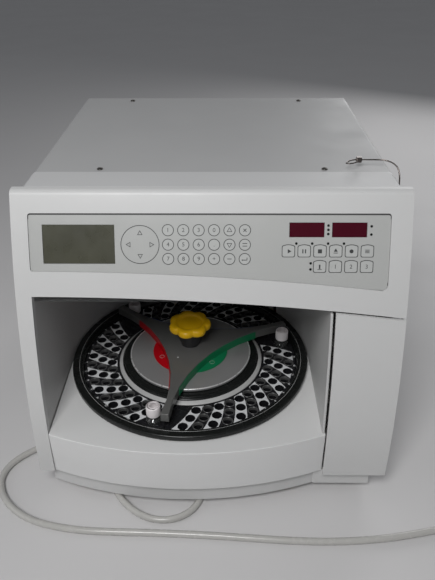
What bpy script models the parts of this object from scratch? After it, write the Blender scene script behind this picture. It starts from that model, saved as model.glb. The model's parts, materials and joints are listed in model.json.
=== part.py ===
"""Bench autosampler with a turning sample carousel, modelled as its separate pieces.

Metres, +Z up, +X to the right seen from the front, +Y to the back.
The origin is on the table, at the middle of the footprint.
The front face is one large arc in side view: a place on it is given by x and by s, the arc length
up from its lower edge, and by a depth, measured square into the face.
"""
import math

import bmesh
import bpy
import mathutils

# Fits
GAP = 0.0003
OVERRUN = 0.002
SHEET = 0.0030

# Overall heights
FOOT_HEIGHT = 0.011
TRAY_HEIGHT = 0.025
BEZEL_LOW = FOOT_HEIGHT + TRAY_HEIGHT

# Carousel, radii about its axis and heights above the deck
RACK_CLEARANCE = 0.0005
HUB_RADIUS = 0.0918
HUB_TOP = 0.0075
HUB_GROOVE = 0.0020
RING_WIDTH = 0.0047
RING_INNER = HUB_RADIUS + RACK_CLEARANCE
RING_OUTER = RING_INNER + RING_WIDTH
RING_TOP = 0.0010
RING_RISE = 0.0030
RING_THICKNESS = 0.0030
DISC_MARGIN = 0.0106
DISC_RADIUS = HUB_RADIUS - DISC_MARGIN
DISC_TOP = 0.0125
DISC_RIM = 0.0022
RACK_WIDTH = 0.0455
RACK_INNER = RING_OUTER + RACK_CLEARANCE
RACK_OUTER = RACK_INNER + RACK_WIDTH
RACK_TOP = 0.0010
RACK_START = -100.4
RACK_COUNT = 3
ROW_START = -91.4
ROW_PITCH = 7.8
ROW_COUNT = 13
ROW_MARGIN = 0.0093
ROW_SPACING = 0.0134
ROW_RINGS = 3
ROW_RADII = tuple(RACK_OUTER - ROW_MARGIN - ring * ROW_SPACING for ring in range(ROW_RINGS))
ROW_SKEW = 3.8
HOLE_RADIUS = 0.0061
HOLE_DEPTH = 0.0300
BOWL_INNER = RACK_OUTER + RACK_CLEARANCE
BOWL_SIDE = 0.0050
BOWL_RADIUS = BOWL_INNER + BOWL_SIDE
BOWL_LIP = 0.0020
BOWL_DEPTH = 0.0390
BOWL_WALL = 0.0025
BOWL_CLEARANCE = 0.0035
RIM_OVERHANG = 0.0100
RIM_RADIUS = BOWL_RADIUS + RIM_OVERHANG
RIM_SLOPE = 0.0030
RIM_INNER = BOWL_INNER + RIM_SLOPE
RIM_TOP = 0.0085
RIM_LOW = 0.0012
VIAL_SETBACK = 0.0135
VIAL_ORBIT = RACK_OUTER - VIAL_SETBACK
VIAL_ANGLE = -107.2
VIAL_RADIUS = 0.0098
VIAL_SHOULDER = 0.0062
VIAL_NECK = 0.0062
VIAL_TOP = 0.0132
VIAL_CAP_RADIUS = 0.0085
VIAL_CAP_LOW = 0.0117
VIAL_CAP_HEIGHT = 0.0135
CAP_WALL = 0.0015

# Widths, from the left pillar to the door
PILLAR_WIDTH = 0.0173
LINER_CLEARANCE = 0.0024
LINER_RADIUS = RIM_RADIUS + LINER_CLEARANCE
DECK_MARGIN = 0.0041
DOOR_GAP = 0.0010
DOOR_WIDTH = 0.0756
DOOR_SIDE = 0.0002
BEZEL_WIDTH = PILLAR_WIDTH + 2 * LINER_RADIUS + DECK_MARGIN + DOOR_GAP + DOOR_WIDTH + DOOR_SIDE
BODY_STEP = 0.0088
BODY_HALF_WIDTH = BEZEL_WIDTH / 2 - BODY_STEP

# Depths, with the origin at the middle
CAROUSEL_SETBACK = 0.1485
PORT_MARGIN = 0.0230
PORT_SETBACK = 0.0480
BAY_REACH = RIM_RADIUS + PORT_MARGIN + PORT_SETBACK
REAR_BAY_DEPTH = 0.0646
COVER_REAR = CAROUSEL_SETBACK + BAY_REACH + REAR_BAY_DEPTH
APRON_BULGE = 0.0275
REAR_FITTINGS_PROUD = 0.0030
FRONT_Y = -(COVER_REAR + REAR_FITTINGS_PROUD - APRON_BULGE) / 2

# Front face
FACE_RADIUS = 0.770
FACE_LENGTH = 0.347
FACE_STEP = 0.0174
BEZEL_DEPTH = 0.0090
BEZEL_WALL = 0.0035
BEZEL_RIM = 0.0030
BEZEL_TOP_RADIUS = 0.0075
OPENING_LEFT = -BEZEL_WIDTH / 2 + PILLAR_WIDTH
PANEL_HEIGHT = 0.113
OPENING_HEIGHT = FACE_LENGTH - PANEL_HEIGHT
SWEEP_RADIUS = 3.45

# Control panel, placed by x and s
RECESS_DEPTH = 0.0021
RECESS_LEFT_MARGIN = 0.0178
RECESS_RIGHT_MARGIN = 0.0223
RECESS_TOP_MARGIN = 0.0237
RECESS_LEFT = -BEZEL_WIDTH / 2 + RECESS_LEFT_MARGIN
RECESS_RIGHT = BEZEL_WIDTH / 2 - RECESS_RIGHT_MARGIN
RECESS_TOP = FACE_LENGTH - RECESS_TOP_MARGIN
RECESS_ABOVE_SWEEP = 0.0273
RECESS_CORNER = 0.0030
RECESS_WIDE_CORNER = 0.0060
OVERLAY_FRONT = 0.0012
OVERLAY_BACK = 0.0018
MODULE_FRONT = 0.0016
MODULE_BACK = 0.0080
LCD_INSET = 0.0145
LCD_WIDTH = 0.0762
LCD_DROP = 0.0118
LCD_HEIGHT = 0.0415
LCD_X = (RECESS_LEFT + LCD_INSET, RECESS_LEFT + LCD_INSET + LCD_WIDTH)
LCD_S = (RECESS_TOP - LCD_DROP - LCD_HEIGHT, RECESS_TOP - LCD_DROP)
LED_INSET = 0.0245
LED_WIDTH = 0.0368
LED_PITCH = 0.0446
LED_DROP = 0.0093
LED_HEIGHT = 0.0155
RIGHT_LED_X = (RECESS_RIGHT - LED_INSET - LED_WIDTH, RECESS_RIGHT - LED_INSET)
LEFT_LED_X = tuple(x - LED_PITCH for x in RIGHT_LED_X)
LED_S = (RECESS_TOP - LED_DROP - LED_HEIGHT, RECESS_TOP - LED_DROP)

# Deck and carousel place
DECK_HEIGHT = 0.060
DECK_TOP = BEZEL_LOW + DECK_HEIGHT
CAROUSEL_X = OPENING_LEFT + LINER_RADIUS
CAROUSEL_Y = FRONT_Y + CAROUSEL_SETBACK
APRON_RADIUS = 0.458
DECK_LEFT = OPENING_LEFT + GAP
DECK_RIGHT = CAROUSEL_X + LINER_RADIUS + DECK_MARGIN
BAY_BACK = CAROUSEL_Y + BAY_REACH
DECK_POST = 0.012

# Star cover and lock knob
STAR_CLEARANCE = 0.0003
STAR_LOW = DISC_TOP + STAR_CLEARANCE
STAR_TOP = 0.0245
ARM_SETBACK = 0.0030
ARM_REACH = RACK_OUTER - ARM_SETBACK
ARM_HALF_WIDTH = 0.0050
ARM_ANGLE = -99.7
ARM_WAIST_RADIUS = 0.036
COLLAR_RADIUS = 0.0195
COLLAR_NECK = 0.0125
COLLAR_HEIGHT = 0.0243
KNOB_LOBES = 7
KNOB_RADIUS = 0.0255
KNOB_LOBE_DEPTH = 0.0025
KNOB_HEIGHT = 0.0110
KNOB_ROUND = 0.0030
KNOB_LOBE_POINTS = 6
KNOB_DISH_RADIUS = 0.0175
KNOB_DISH_DEPTH = 0.0022
INLAY_THICKNESS = 0.0008
INLAY_LEAF_RADIUS = 0.0505
INLAY_STRIP_REACH = 0.0930
HALF_SHARE = 0.5

# Carousel drive
SPINDLE_RADIUS = 0.0060
GEAR_MODULE = 0.0020
GEAR_TEETH = 40
PINION_TEETH = 12
GEAR_WIDTH = 0.0060
GEAR_ROOT_SHARE = 1.2
GEAR_TIP_SHARE = 0.85
ROOT_HALF_SHARE = 0.30
TIP_HALF_SHARE = 0.12
MOTOR_SIDE = 0.042
MOTOR_HEIGHT = 0.027
MOTOR_ANGLE = 60.0
BEARING_RADIUS = 0.020

# Compartment and the needle unit behind it
CEILING_RISE = 0.0025
LINER_CEILING = BEZEL_LOW + OPENING_HEIGHT + CEILING_RISE
BAY_LEFT_REACH = 0.097
BAY_RIGHT_REACH = 0.124
BAY_LINTEL = 0.0105
BAY_LEFT = CAROUSEL_X - BAY_LEFT_REACH
BAY_RIGHT = CAROUSEL_X + BAY_RIGHT_REACH
BAY_TOP = LINER_CEILING - BAY_LINTEL
BAY_WALL = 0.002
NEEDLE_ANGLE = math.radians(97.4)
NEEDLE_X = CAROUSEL_X + ROW_RADII[-1] * math.cos(NEEDLE_ANGLE)
NEEDLE_REACH_Y = CAROUSEL_Y + ROW_RADII[-1] * math.sin(NEEDLE_ANGLE)
PORT_Y = CAROUSEL_Y + RIM_RADIUS + PORT_MARGIN
NEEDLE_REST_HEIGHT = 0.028
NEEDLE_TIP = DECK_TOP + NEEDLE_REST_HEIGHT
NEEDLE_RADIUS = 0.0008
NEEDLE_TRAVEL = 0.045
PORT_RADIUS = 0.008
PORT_BORE = 0.0050
PORT_FLOOR_GAP = 0.0040
PORT_HEIGHT = 0.020
PORT_TOP = DECK_TOP + PORT_HEIGHT
RAIL_HEIGHT = 0.018
RAIL_WIDTH = 0.026
RAIL_WEB = 0.012
RAIL_FLANGE = 0.005
CARRIAGE_LIP = 0.004
CARRIAGE_SIDE = 0.040
CARRIAGE_HEIGHT = 0.055
NEEDLE_BLOCK = 0.012

# Service bay
DOOR_LEFT = DECK_RIGHT + DOOR_GAP
DOOR_RIGHT = DOOR_LEFT + DOOR_WIDTH
DOOR_PROUD = 0.0015
DOOR_WALL = 0.0030
DOOR_DROP = 0.0030
DOOR_TOP_GAP = 0.0020
HINGE_INSET = 0.0068
HINGE_MARGIN = 0.002717
HINGE_SETBACK = FACE_RADIUS * (1 - math.cos(OPENING_HEIGHT / FACE_RADIUS)) + HINGE_MARGIN
DOOR_HINGE_X = DOOR_RIGHT - HINGE_INSET
DOOR_HINGE_Y = FRONT_Y + HINGE_SETBACK
RETURN_CLEARANCE = 0.0020
FRAME_CLEARANCE = 0.0055
DOOR_RETURN_Y = DOOR_HINGE_Y - RETURN_CLEARANCE
FRAME_SETBACK_Y = DOOR_HINGE_Y + FRAME_CLEARANCE
HINGE_PIN_RADIUS = 0.0015
LUG_REACH = 0.0035
LUG_HEIGHT = 0.004
LOW_LUG_HEIGHT = 0.006
HIGH_LUG_DROP = 0.038
LOW_LUG_Z = BEZEL_LOW + LOW_LUG_HEIGHT
HIGH_LUG_Z = BEZEL_LOW + OPENING_HEIGHT - HIGH_LUG_DROP
BRACKET_SETBACK = 0.066
BRACKET_DROP = 0.034
BRACKET_FRONT = FRONT_Y + BRACKET_SETBACK
BRACKET_TOP = BEZEL_LOW + OPENING_HEIGHT - BRACKET_DROP
BRACKET_FOOT = 0.016
VALVE_INSET = 0.0378
VALVE_DROP = 0.076
VALVE_X = DOOR_LEFT + VALVE_INSET
VALVE_Z = BEZEL_LOW + OPENING_HEIGHT - VALVE_DROP
VALVE_RADIUS = 0.018
VALVE_LENGTH = 0.024
VALVE_ROTOR_RADIUS = 0.011
VALVE_ROTOR_DEPTH = 0.006
VALVE_SHAFT = 0.004
VALVE_FLANGE = 0.009
VALVE_PORTS = 6
VALVE_PORT_RADIUS = 0.0016
SYRINGE_INSET = 0.0178
SYRINGE_BASE = 0.070
SYRINGE_X = DOOR_LEFT + SYRINGE_INSET
SYRINGE_Z = BEZEL_LOW + SYRINGE_BASE
SYRINGE_RADIUS = 0.006
SYRINGE_LENGTH = 0.060

# Housing
FRAME_REAR = 0.1292
BODY_TOP = BEZEL_LOW + FACE_RADIUS * math.sin(FACE_LENGTH / FACE_RADIUS)
BODY_CORNER = 0.006
COVER_INSET = 0.0006
SCREW_INSET = 0.0752
SCREW_FRONT_MARGIN = 0.0094
SCREW_REAR_MARGIN = 0.0169
SCREW_X = BODY_HALF_WIDTH - SCREW_INSET
SCREW_FRONT_Y = FRONT_Y + FRAME_REAR + SCREW_FRONT_MARGIN
SCREW_REAR_Y = FRONT_Y + COVER_REAR - SCREW_REAR_MARGIN
SCREW_RADIUS = 0.0035
SCREW_SHANK = 0.0018
SCREW_LENGTH = 0.010
SCREW_HEAD = 0.0016
TRAY_LEFT_INSET = 0.0032
TRAY_RIGHT_INSET = 0.0082
TRAY_STEP_INSET = 0.0092
TRAY_STEP_SETBACK = 0.0055
TRAY_REAR_INSET = 0.0026
TRAY_LEFT = -BODY_HALF_WIDTH + TRAY_LEFT_INSET
TRAY_RIGHT = BODY_HALF_WIDTH - TRAY_RIGHT_INSET
TRAY_STEP_X = DECK_RIGHT - TRAY_STEP_INSET
TRAY_STEP_Y = FRONT_Y + TRAY_STEP_SETBACK
TRAY_REAR = FRONT_Y + COVER_REAR - TRAY_REAR_INSET
TRAY_SETBACK = 0.0065
FOOT_RADIUS = 0.011
FOOT_LEFT_INSET = 0.041
FOOT_STEP_INSET = 0.028
FOOT_RIGHT_INSET = 0.036
FOOT_FRONT_SETBACK = 0.016
FOOT_REAR_INSET = 0.040
FOOT_FRONT_Y = FRONT_Y + FOOT_FRONT_SETBACK
FOOT_REAR_Y = TRAY_REAR - FOOT_REAR_INSET
FOOT_PLACES = (
    (TRAY_LEFT + FOOT_LEFT_INSET, FOOT_FRONT_Y),
    (TRAY_STEP_X - FOOT_STEP_INSET, FOOT_FRONT_Y),
    (TRAY_LEFT + FOOT_LEFT_INSET, FOOT_REAR_Y),
    (TRAY_RIGHT - FOOT_RIGHT_INSET, FOOT_REAR_Y),
)

# Electronics and rear
BOARD_SETBACK = 0.0015
BOARD_X = CAROUSEL_X
BOARD_Y = CAROUSEL_Y + BOARD_SETBACK
BOARD_SIZE = (0.160, 0.120, 0.0016)
BOARD_POST = 0.008
SUPPLY_SIZE = (0.060, 0.090, 0.040)
CHIP_SIZE = (0.018, 0.018, 0.0030)
VENT_RADIUS = 0.0375
VENT_INSET = 0.0912
VENT_HEIGHT = 0.185
VENT_X = BODY_HALF_WIDTH - VENT_INSET
VENT_Z = BEZEL_LOW + VENT_HEIGHT
VENT_SLOTS = 7
SLOT_SHARE = 0.5
INLET_INSET = 0.0612
INLET_HEIGHT = 0.040
INLET_X = -BODY_HALF_WIDTH + INLET_INSET
INLET_Z = BEZEL_LOW + INLET_HEIGHT
INLET_BODY = (0.028, 0.021)
INLET_DEPTH = 0.024
SWITCH_PITCH = 0.0345
SWITCH_X = INLET_X + SWITCH_PITCH
SWITCH_BODY = (0.018, 0.026)
SWITCH_DEPTH = 0.018
ENTRY_MARGIN = 0.010
ENTRY_HEIGHT = 0.032
ROCKER_TILT = 8.0
ROCKER_TIP = 0.0015
ROCKER_SETBACK = 0.0031

# Outlet capillary, points by hand from the body's side, the front and the body's top
CAPILLARY_RADIUS = 0.0008
CAPILLARY_STEP = 0.0045
CAPILLARY_ROUTE = (
    (-0.0047, 0.1180, -0.0240), (-0.0007, 0.1180, -0.0240), (0.0028, 0.1182, -0.0232),
    (0.0050, 0.1195, -0.0195), (0.0058, 0.1225, -0.0110), (0.0056, 0.1265, -0.0020),
    (0.0036, 0.1320, 0.0045), (-0.0012, 0.1375, 0.0076), (-0.0067, 0.1412, 0.0086),
    (-0.0122, 0.1432, 0.0088), (-0.0192, 0.1438, 0.0088), (-0.0262, 0.1438, 0.0088),
    (-0.0372, 0.1438, 0.0088), (-0.0412, 0.1437, 0.0088), (-0.0452, 0.1420, 0.0090),
    (-0.0497, 0.1376, 0.0092), (-0.0530, 0.1330, 0.0092), (-0.0526, 0.1302, 0.0092),
    (-0.0492, 0.1300, 0.0092), (-0.0442, 0.1330, 0.0090), (-0.0392, 0.1378, 0.0088),
)
NUT_POINT = 12
NUT_RADIUS = 0.0035
NUT_LENGTH = 0.006

# Drain hose
HOSE_RADIUS = 0.0040
HOSE_STEP = 0.020
ELBOW_X = -0.012
ELBOW_OFFSET = 0.056
BARB_RADIUS = 0.0040
HOSE_ROUTE = (
    (-0.0120, 0.018), (-0.0130, -0.004), (-0.0185, -0.0220), (-0.0300, -0.0360),
    (-0.0490, -0.0445), (-0.0700, -0.0440), (-0.0890, -0.0360), (-0.1060, -0.0220), (-0.1180, -0.0060),
    (-0.1270, 0.0140), (-0.1330, 0.0380), (-0.1450, 0.0620), (-0.1680, 0.0800), (-0.1970, 0.0830),
    (-0.2240, 0.0730), (-0.2480, 0.0570), (-0.2640, 0.0380), (-0.2690, 0.0160), (-0.2620, -0.0060),
    (-0.2450, -0.0270), (-0.2190, -0.0445), (-0.1880, -0.0545), (-0.1540, -0.0600), (-0.1190, -0.0620),
    (-0.0830, -0.0628), (-0.0340, -0.0645), (0.0100, -0.0668), (0.0480, -0.0694), (0.0900, -0.0720),
    (0.1320, -0.0730), (0.1760, -0.0708), (0.2110, -0.0665), (0.2400, -0.0612), (0.2640, -0.0565),
    (0.2900, -0.0535),
)
COIL_X = 0.345
COIL_Y_OFFSET = -0.002
COIL_MIDDLE_RADIUS = 0.044
COIL_PITCH = 0.0086
COIL_LAYER_TURNS = 1.5
COIL_LOOP_POINTS = 24

# Drawing steps
MERGE = 0.000001
ROUTE_PARTS = 12
HEX_STEPS = 6
SHARP_ANGLE = math.radians(35)
SWEEP_STEPS = 12
ROUND_STEPS = 48
LARGE_STEPS = 48
HUB_STEPS = 20
STAR_STEPS = 10
SMALL_STEPS = 16
HOLE_STEPS = 6
ARC_STEPS = 20
CORNER_STEPS = 4

# Finishes: name, colour, roughness, metallic, opacity
HOUSING_FINISH = ("housing", (0.74, 0.75, 0.74), 0.45)
COVER_FINISH = ("cover", (0.70, 0.71, 0.71), 0.55)
TRAY_FINISH = ("base", (0.66, 0.68, 0.68), 0.5)
FOOT_FINISH = ("foot", (0.33, 0.25, 0.16), 0.8)
OVERLAY_FINISH = ("overlay", (0.64, 0.66, 0.63), 0.4)
LCD_FINISH = ("lcd", (0.16, 0.17, 0.13), 0.15)
LED_FINISH = ("led", (0.16, 0.02, 0.03), 0.15)
LINER_FINISH = ("liner", (0.62, 0.63, 0.63), 0.5)
BAY_FINISH = ("bay", (0.03, 0.03, 0.03), 0.6)
RIM_FINISH = ("rim", (0.02, 0.02, 0.022), 0.2)
RING_FINISH = ("ring", (0.42, 0.43, 0.43), 0.35)
DISC_FINISH = ("disc", (0.55, 0.55, 0.56), 0.35, 0.8)
STAR_FINISH = ("star", (0.36, 0.37, 0.37), 0.35)
COLLAR_FINISH = ("collar", (0.05, 0.05, 0.06), 0.4)
KNOB_FINISH = ("knob", (0.85, 0.60, 0.02), 0.35)
GLASS_FINISH = ("glass", (0.80, 0.83, 0.84), 0.05, 0.0, 0.35)
CAP_FINISH = ("cap", (0.85, 0.85, 0.84), 0.4)
STEEL_FINISH = ("steel", (0.60, 0.60, 0.61), 0.3, 0.9)
DARK_FINISH = ("dark", (0.06, 0.06, 0.065), 0.5)
GEAR_FINISH = ("gear", (0.80, 0.78, 0.70), 0.5)
PORT_FINISH = ("port", (0.82, 0.80, 0.74), 0.4)
BOARD_FINISH = ("board", (0.05, 0.22, 0.10), 0.4)
HOSE_FINISH = ("hose", (0.70, 0.72, 0.70), 0.3, 0.0, 0.7)
RED_FINISH = ("red", (0.60, 0.03, 0.06), 0.4)
GREEN_FINISH = ("green", (0.0, 0.30, 0.14), 0.4)
BLUE_FINISH = ("blue", (0.03, 0.12, 0.45), 0.4)
RACK_FINISH = ("rack", (0.03, 0.03, 0.035), 0.35)
RACK_NAMES = ("rack_green", "rack_blue", "rack_red")
INLAY_FINISHES = (
    ("inlay_green", GREEN_FINISH),
    ("inlay_blue", BLUE_FINISH),
    ("inlay_red", RED_FINISH),
)


def clear_scene():
    """Remove every object, so that the script gives the same model each time."""
    for thing in list(bpy.data.objects):
        bpy.data.objects.remove(thing, do_unlink=True)


def material(name, colour, roughness=0.5, metallic=0.0, alpha=1.0):
    """A Principled material of one colour."""
    result = bpy.data.materials.get(name) or bpy.data.materials.new(name)
    result.use_nodes = True
    shader = result.node_tree.nodes["Principled BSDF"]
    shader.inputs["Base Color"].default_value = (*colour, 1.0)
    shader.inputs["Roughness"].default_value = roughness
    shader.inputs["Metallic"].default_value = metallic
    shader.inputs["Alpha"].default_value = alpha
    return result


def solid(name, mesh_data, finish=None):
    """Turn a finished bmesh into a named object."""
    bmesh.ops.remove_doubles(mesh_data, verts=mesh_data.verts, dist=MERGE)
    bmesh.ops.recalc_face_normals(mesh_data, faces=mesh_data.faces)
    mesh = bpy.data.meshes.new(name)
    mesh_data.to_mesh(mesh)
    mesh_data.free()
    result = bpy.data.objects.new(name, mesh)
    bpy.context.collection.objects.link(result)
    return dress(result, finish)


def dress(thing, finish):
    """Give an object its one material, and smooth shading where it is round."""
    thing.data.materials.clear()
    if finish is not None:
        thing.data.materials.append(material(*finish))
    thing.data.shade_smooth()
    thing.data.set_sharp_from_angle(angle=SHARP_ANGLE)
    return thing


def prism(name, outline, low, high, axis="Z", finish=None):
    """Extrude a flat outline along one axis."""
    places = {
        "Z": lambda a, b, h: (a, b, h),
        "X": lambda a, b, h: (h, a, b),
        "Y": lambda a, b, h: (a, h, b),
    }[axis]
    mesh_data = bmesh.new()
    rings = []
    for height in (low, high):
        rings.append([mesh_data.verts.new(places(a, b, height)) for a, b in outline])
    mesh_data.faces.new(rings[0])
    mesh_data.faces.new(list(reversed(rings[1])))
    count = len(outline)
    for index in range(count):
        after = (index + 1) % count
        mesh_data.faces.new((rings[0][index], rings[1][index], rings[1][after], rings[0][after]))
    return solid(name, mesh_data, finish)


def block(name, x_range, y_range, z_range, finish=None):
    """A plain block between two limits on each axis."""
    outline = [(x_range[0], y_range[0]), (x_range[1], y_range[0]),
               (x_range[1], y_range[1]), (x_range[0], y_range[1])]
    return prism(name, outline, z_range[0], z_range[1], "Z", finish)


def span(middle, width):
    """The two limits of a width about its middle."""
    return middle - width / 2, middle + width / 2


def turned(name, profile, place, finish=None, steps=None, axis="Z", closed=False):
    """Turn a profile of (radius, height) about an axis through a place.

    An open profile starts and ends on the axis; a closed one stays clear of it.
    """
    steps = steps or ROUND_STEPS
    mesh_data = bmesh.new()
    rings = []
    for radius, height in profile:
        if radius <= MERGE:
            rings.append([mesh_data.verts.new((0, 0, height))])
            continue
        ring = []
        for step in range(steps):
            angle = math.tau * step / steps
            ring.append(mesh_data.verts.new((radius * math.cos(angle), radius * math.sin(angle), height)))
        rings.append(ring)
    pairs = list(zip(rings, rings[1:]))
    if closed:
        pairs.append((rings[-1], rings[0]))
    for first, second in pairs:
        join_rings(mesh_data, first, second, steps)
    for vert in mesh_data.verts:
        x, y, z = vert.co
        turned_place = {"Z": (x, y, z), "Y": (x, z, y), "X": (z, x, y)}[axis]
        vert.co = [turned_place[index] + place[index] for index in range(3)]
    return solid(name, mesh_data, finish)


def join_rings(mesh_data, first, second, steps):
    """Faces between two rings of a turned shape, either of which may be a single point."""
    if len(first) == 1 and len(second) == 1:
        return
    for step in range(steps):
        after = (step + 1) % steps
        if len(first) == 1:
            mesh_data.faces.new((first[0], second[step], second[after]))
        elif len(second) == 1:
            mesh_data.faces.new((first[step], second[0], first[after]))
        else:
            mesh_data.faces.new((first[step], second[step], second[after], first[after]))


def cylinder(name, radius, low, high, place, finish=None, steps=None, axis="Z"):
    """A plain round bar; place gives the two coordinates across its axis."""
    at = {"Z": (place[0], place[1], 0), "Y": (place[0], 0, place[1]), "X": (0, place[0], place[1])}[axis]
    return turned(name, [(0, low), (radius, low), (radius, high), (0, high)], at, finish, steps, axis)


def tube(name, outer, inner, low, high, place, finish=None, steps=None, axis="Z"):
    """A plain round pipe; place gives the two coordinates across its axis."""
    at = {"Z": (place[0], place[1], 0), "Y": (place[0], 0, place[1]), "X": (0, place[0], place[1])}[axis]
    profile = [(inner, low), (outer, low), (outer, high), (inner, high)]
    return turned(name, profile, at, finish, steps, axis, closed=True)


def combine(target, tool, operation):
    """Apply one exact boolean and remove its tool."""
    change = target.modifiers.new("Cut", "BOOLEAN")
    change.operation = operation
    change.object = tool
    change.solver = "EXACT"
    graph = bpy.context.evaluated_depsgraph_get()
    mesh = bpy.data.meshes.new_from_object(target.evaluated_get(graph))
    target.modifiers.clear()
    target.data = mesh
    bpy.data.objects.remove(tool, do_unlink=True)
    return target


def cut(target, *tools):
    """Take each tool away from the target."""
    for tool in tools:
        combine(target, tool, "DIFFERENCE")
    return target


def add(target, *tools):
    """Join each tool to the target as one body."""
    for tool in tools:
        combine(target, tool, "UNION")
    return target


def keep_inside(target, tool):
    """Keep only the part of the target that lies in the tool."""
    return combine(target, tool, "INTERSECT")


def arc_points(centre, radius, start, end, steps):
    """Points along an arc, angles in degrees."""
    points = []
    for step in range(steps + 1):
        angle = math.radians(start + (end - start) * step / steps)
        points.append((centre[0] + radius * math.cos(angle), centre[1] + radius * math.sin(angle)))
    return points


def rounded_rectangle(x_range, y_range, radius):
    """A rectangle with round corners, anticlockwise."""
    corners = (
        (x_range[1] - radius, y_range[1] - radius, 0),
        (x_range[0] + radius, y_range[1] - radius, 90),
        (x_range[0] + radius, y_range[0] + radius, 180),
        (x_range[1] - radius, y_range[0] + radius, 270),
    )
    points = []
    for x, y, start in corners:
        points += arc_points((x, y), radius, start, start + 90, CORNER_STEPS)
    return points


def face_place(s, depth=0.0):
    """The (y, z) of a place on the front face, s up along its arc and so far into it."""
    angle = s / FACE_RADIUS
    radius = FACE_RADIUS - depth
    return FRONT_Y + FACE_RADIUS - radius * math.cos(angle), BEZEL_LOW + radius * math.sin(angle)


def face_height(s):
    """The height of a place on the front face."""
    return face_place(s)[1]


def face_line(low, high, depth):
    """Points up the face between two places, on the steps that every piece of the face shares."""
    stops = [low]
    step = math.floor(low / FACE_STEP) + 1
    while step * FACE_STEP < high - MERGE:
        if step * FACE_STEP > low + MERGE:
            stops.append(step * FACE_STEP)
        step += 1
    stops.append(high)
    return [face_place(s, depth) for s in stops]


def face_band(name, x_range, s_range, depth_range, finish=None):
    """A slab that follows the face between two depths."""
    outline = face_line(s_range[0], s_range[1], depth_range[0])
    outline += list(reversed(face_line(s_range[0], s_range[1], depth_range[1])))
    return prism(name, outline, x_range[0], x_range[1], "X", finish)


def opening_edge(x):
    """The s of the swept upper edge of the opening, level at the left and falling to the right."""
    return OPENING_HEIGHT - (x - OPENING_LEFT) ** 2 / (2 * SWEEP_RADIUS)


def sweep_points(x_start, x_end, raised=0.0):
    """Points (x, z) along the swept edge, or along a line that keeps above it."""
    points = []
    for step in range(SWEEP_STEPS + 1):
        x = x_start + (x_end - x_start) * step / SWEEP_STEPS
        points.append((x, face_height(opening_edge(x) + raised)))
    return points


def make_bezel():
    """The large front moulding: hollow behind, with the control recess and the opening."""
    half = BEZEL_WIDTH / 2
    height = BODY_TOP - BEZEL_LOW
    radius = BEZEL_TOP_RADIUS
    turn = math.asin((height - radius) / (FACE_RADIUS - radius))
    edge = FACE_RADIUS * turn
    outline = face_line(0, edge, 0)[:-1]
    outline += arc_points(face_place(edge, radius), radius, 180 - math.degrees(turn), 90, CORNER_STEPS)
    back_edge = FACE_RADIUS * math.asin(height / (FACE_RADIUS - BEZEL_DEPTH))
    outline += list(reversed(face_line(0, back_edge, BEZEL_DEPTH)))
    bezel = prism("front_bezel", outline, -half, half, "X")
    inner_left = -half + BEZEL_RIM
    pillar_right = OPENING_LEFT - BEZEL_RIM
    pocket_outline = [(inner_left, face_height(BEZEL_RIM)), (pillar_right, face_height(BEZEL_RIM))]
    pocket_outline += sweep_points(pillar_right, half - BEZEL_RIM, BEZEL_RIM)
    top = face_height(FACE_LENGTH - BEZEL_RIM)
    pocket_outline += [(half - BEZEL_RIM, top), (inner_left, top)]
    pocket = prism("pocket", pocket_outline, FRONT_Y - BEZEL_DEPTH, FRONT_Y + FACE_LENGTH, "Y")
    behind_wall = (BEZEL_WALL, BEZEL_DEPTH + OVERRUN)
    keep_inside(pocket, face_band("behind", (-half, half), (-OVERRUN, FACE_LENGTH + OVERRUN), behind_wall))
    low = BEZEL_LOW - OVERRUN
    opening_outline = [(OPENING_LEFT, low), (half + OVERRUN, low)]
    opening_outline += list(reversed(sweep_points(OPENING_LEFT, half + OVERRUN)))
    opening = prism("opening", opening_outline, FRONT_Y - BEZEL_DEPTH, FRONT_Y + FACE_LENGTH, "Y")
    cut(bezel, pocket, opening, recess_slab("recess", 0.0, (-OVERRUN, RECESS_DEPTH)))
    for x_range, s_range in ((LCD_X, LCD_S), (LEFT_LED_X, LED_S), (RIGHT_LED_X, LED_S)):
        cut(bezel, face_band("window", x_range, s_range, (-OVERRUN, BEZEL_DEPTH)))
    return dress(bezel, HOUSING_FINISH)


def recess_slab(name, inset, depth_range):
    """The round-cornered area of the control recess, as a slab of the face."""
    left = RECESS_LEFT + inset
    right = RECESS_RIGHT - inset
    top = face_height(RECESS_TOP - inset)
    radius = RECESS_CORNER
    wide = RECESS_WIDE_CORNER
    rise = RECESS_ABOVE_SWEEP + inset
    low_left = (left + radius, face_height(opening_edge(left) + rise) + radius)
    low_right = (right - wide, face_height(opening_edge(right - wide) + rise) + wide)
    outline = arc_points(low_left, radius, 180, 270, CORNER_STEPS)
    outline += sweep_points(left + 2 * radius, right - 2 * wide, rise)
    outline += arc_points(low_right, wide, 270, 360, CORNER_STEPS)
    outline += arc_points((right - radius, top - radius), radius, 0, 90, CORNER_STEPS)
    outline += arc_points((left + radius, top - radius), radius, 90, 180, CORNER_STEPS)
    slab = prism(name, outline, FRONT_Y - BEZEL_DEPTH, FRONT_Y + FACE_LENGTH, "Y")
    half = BEZEL_WIDTH / 2
    band = face_band("band", (-half, half), (OPENING_HEIGHT / 2, FACE_LENGTH + OVERRUN), depth_range)
    return keep_inside(slab, band)


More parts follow.
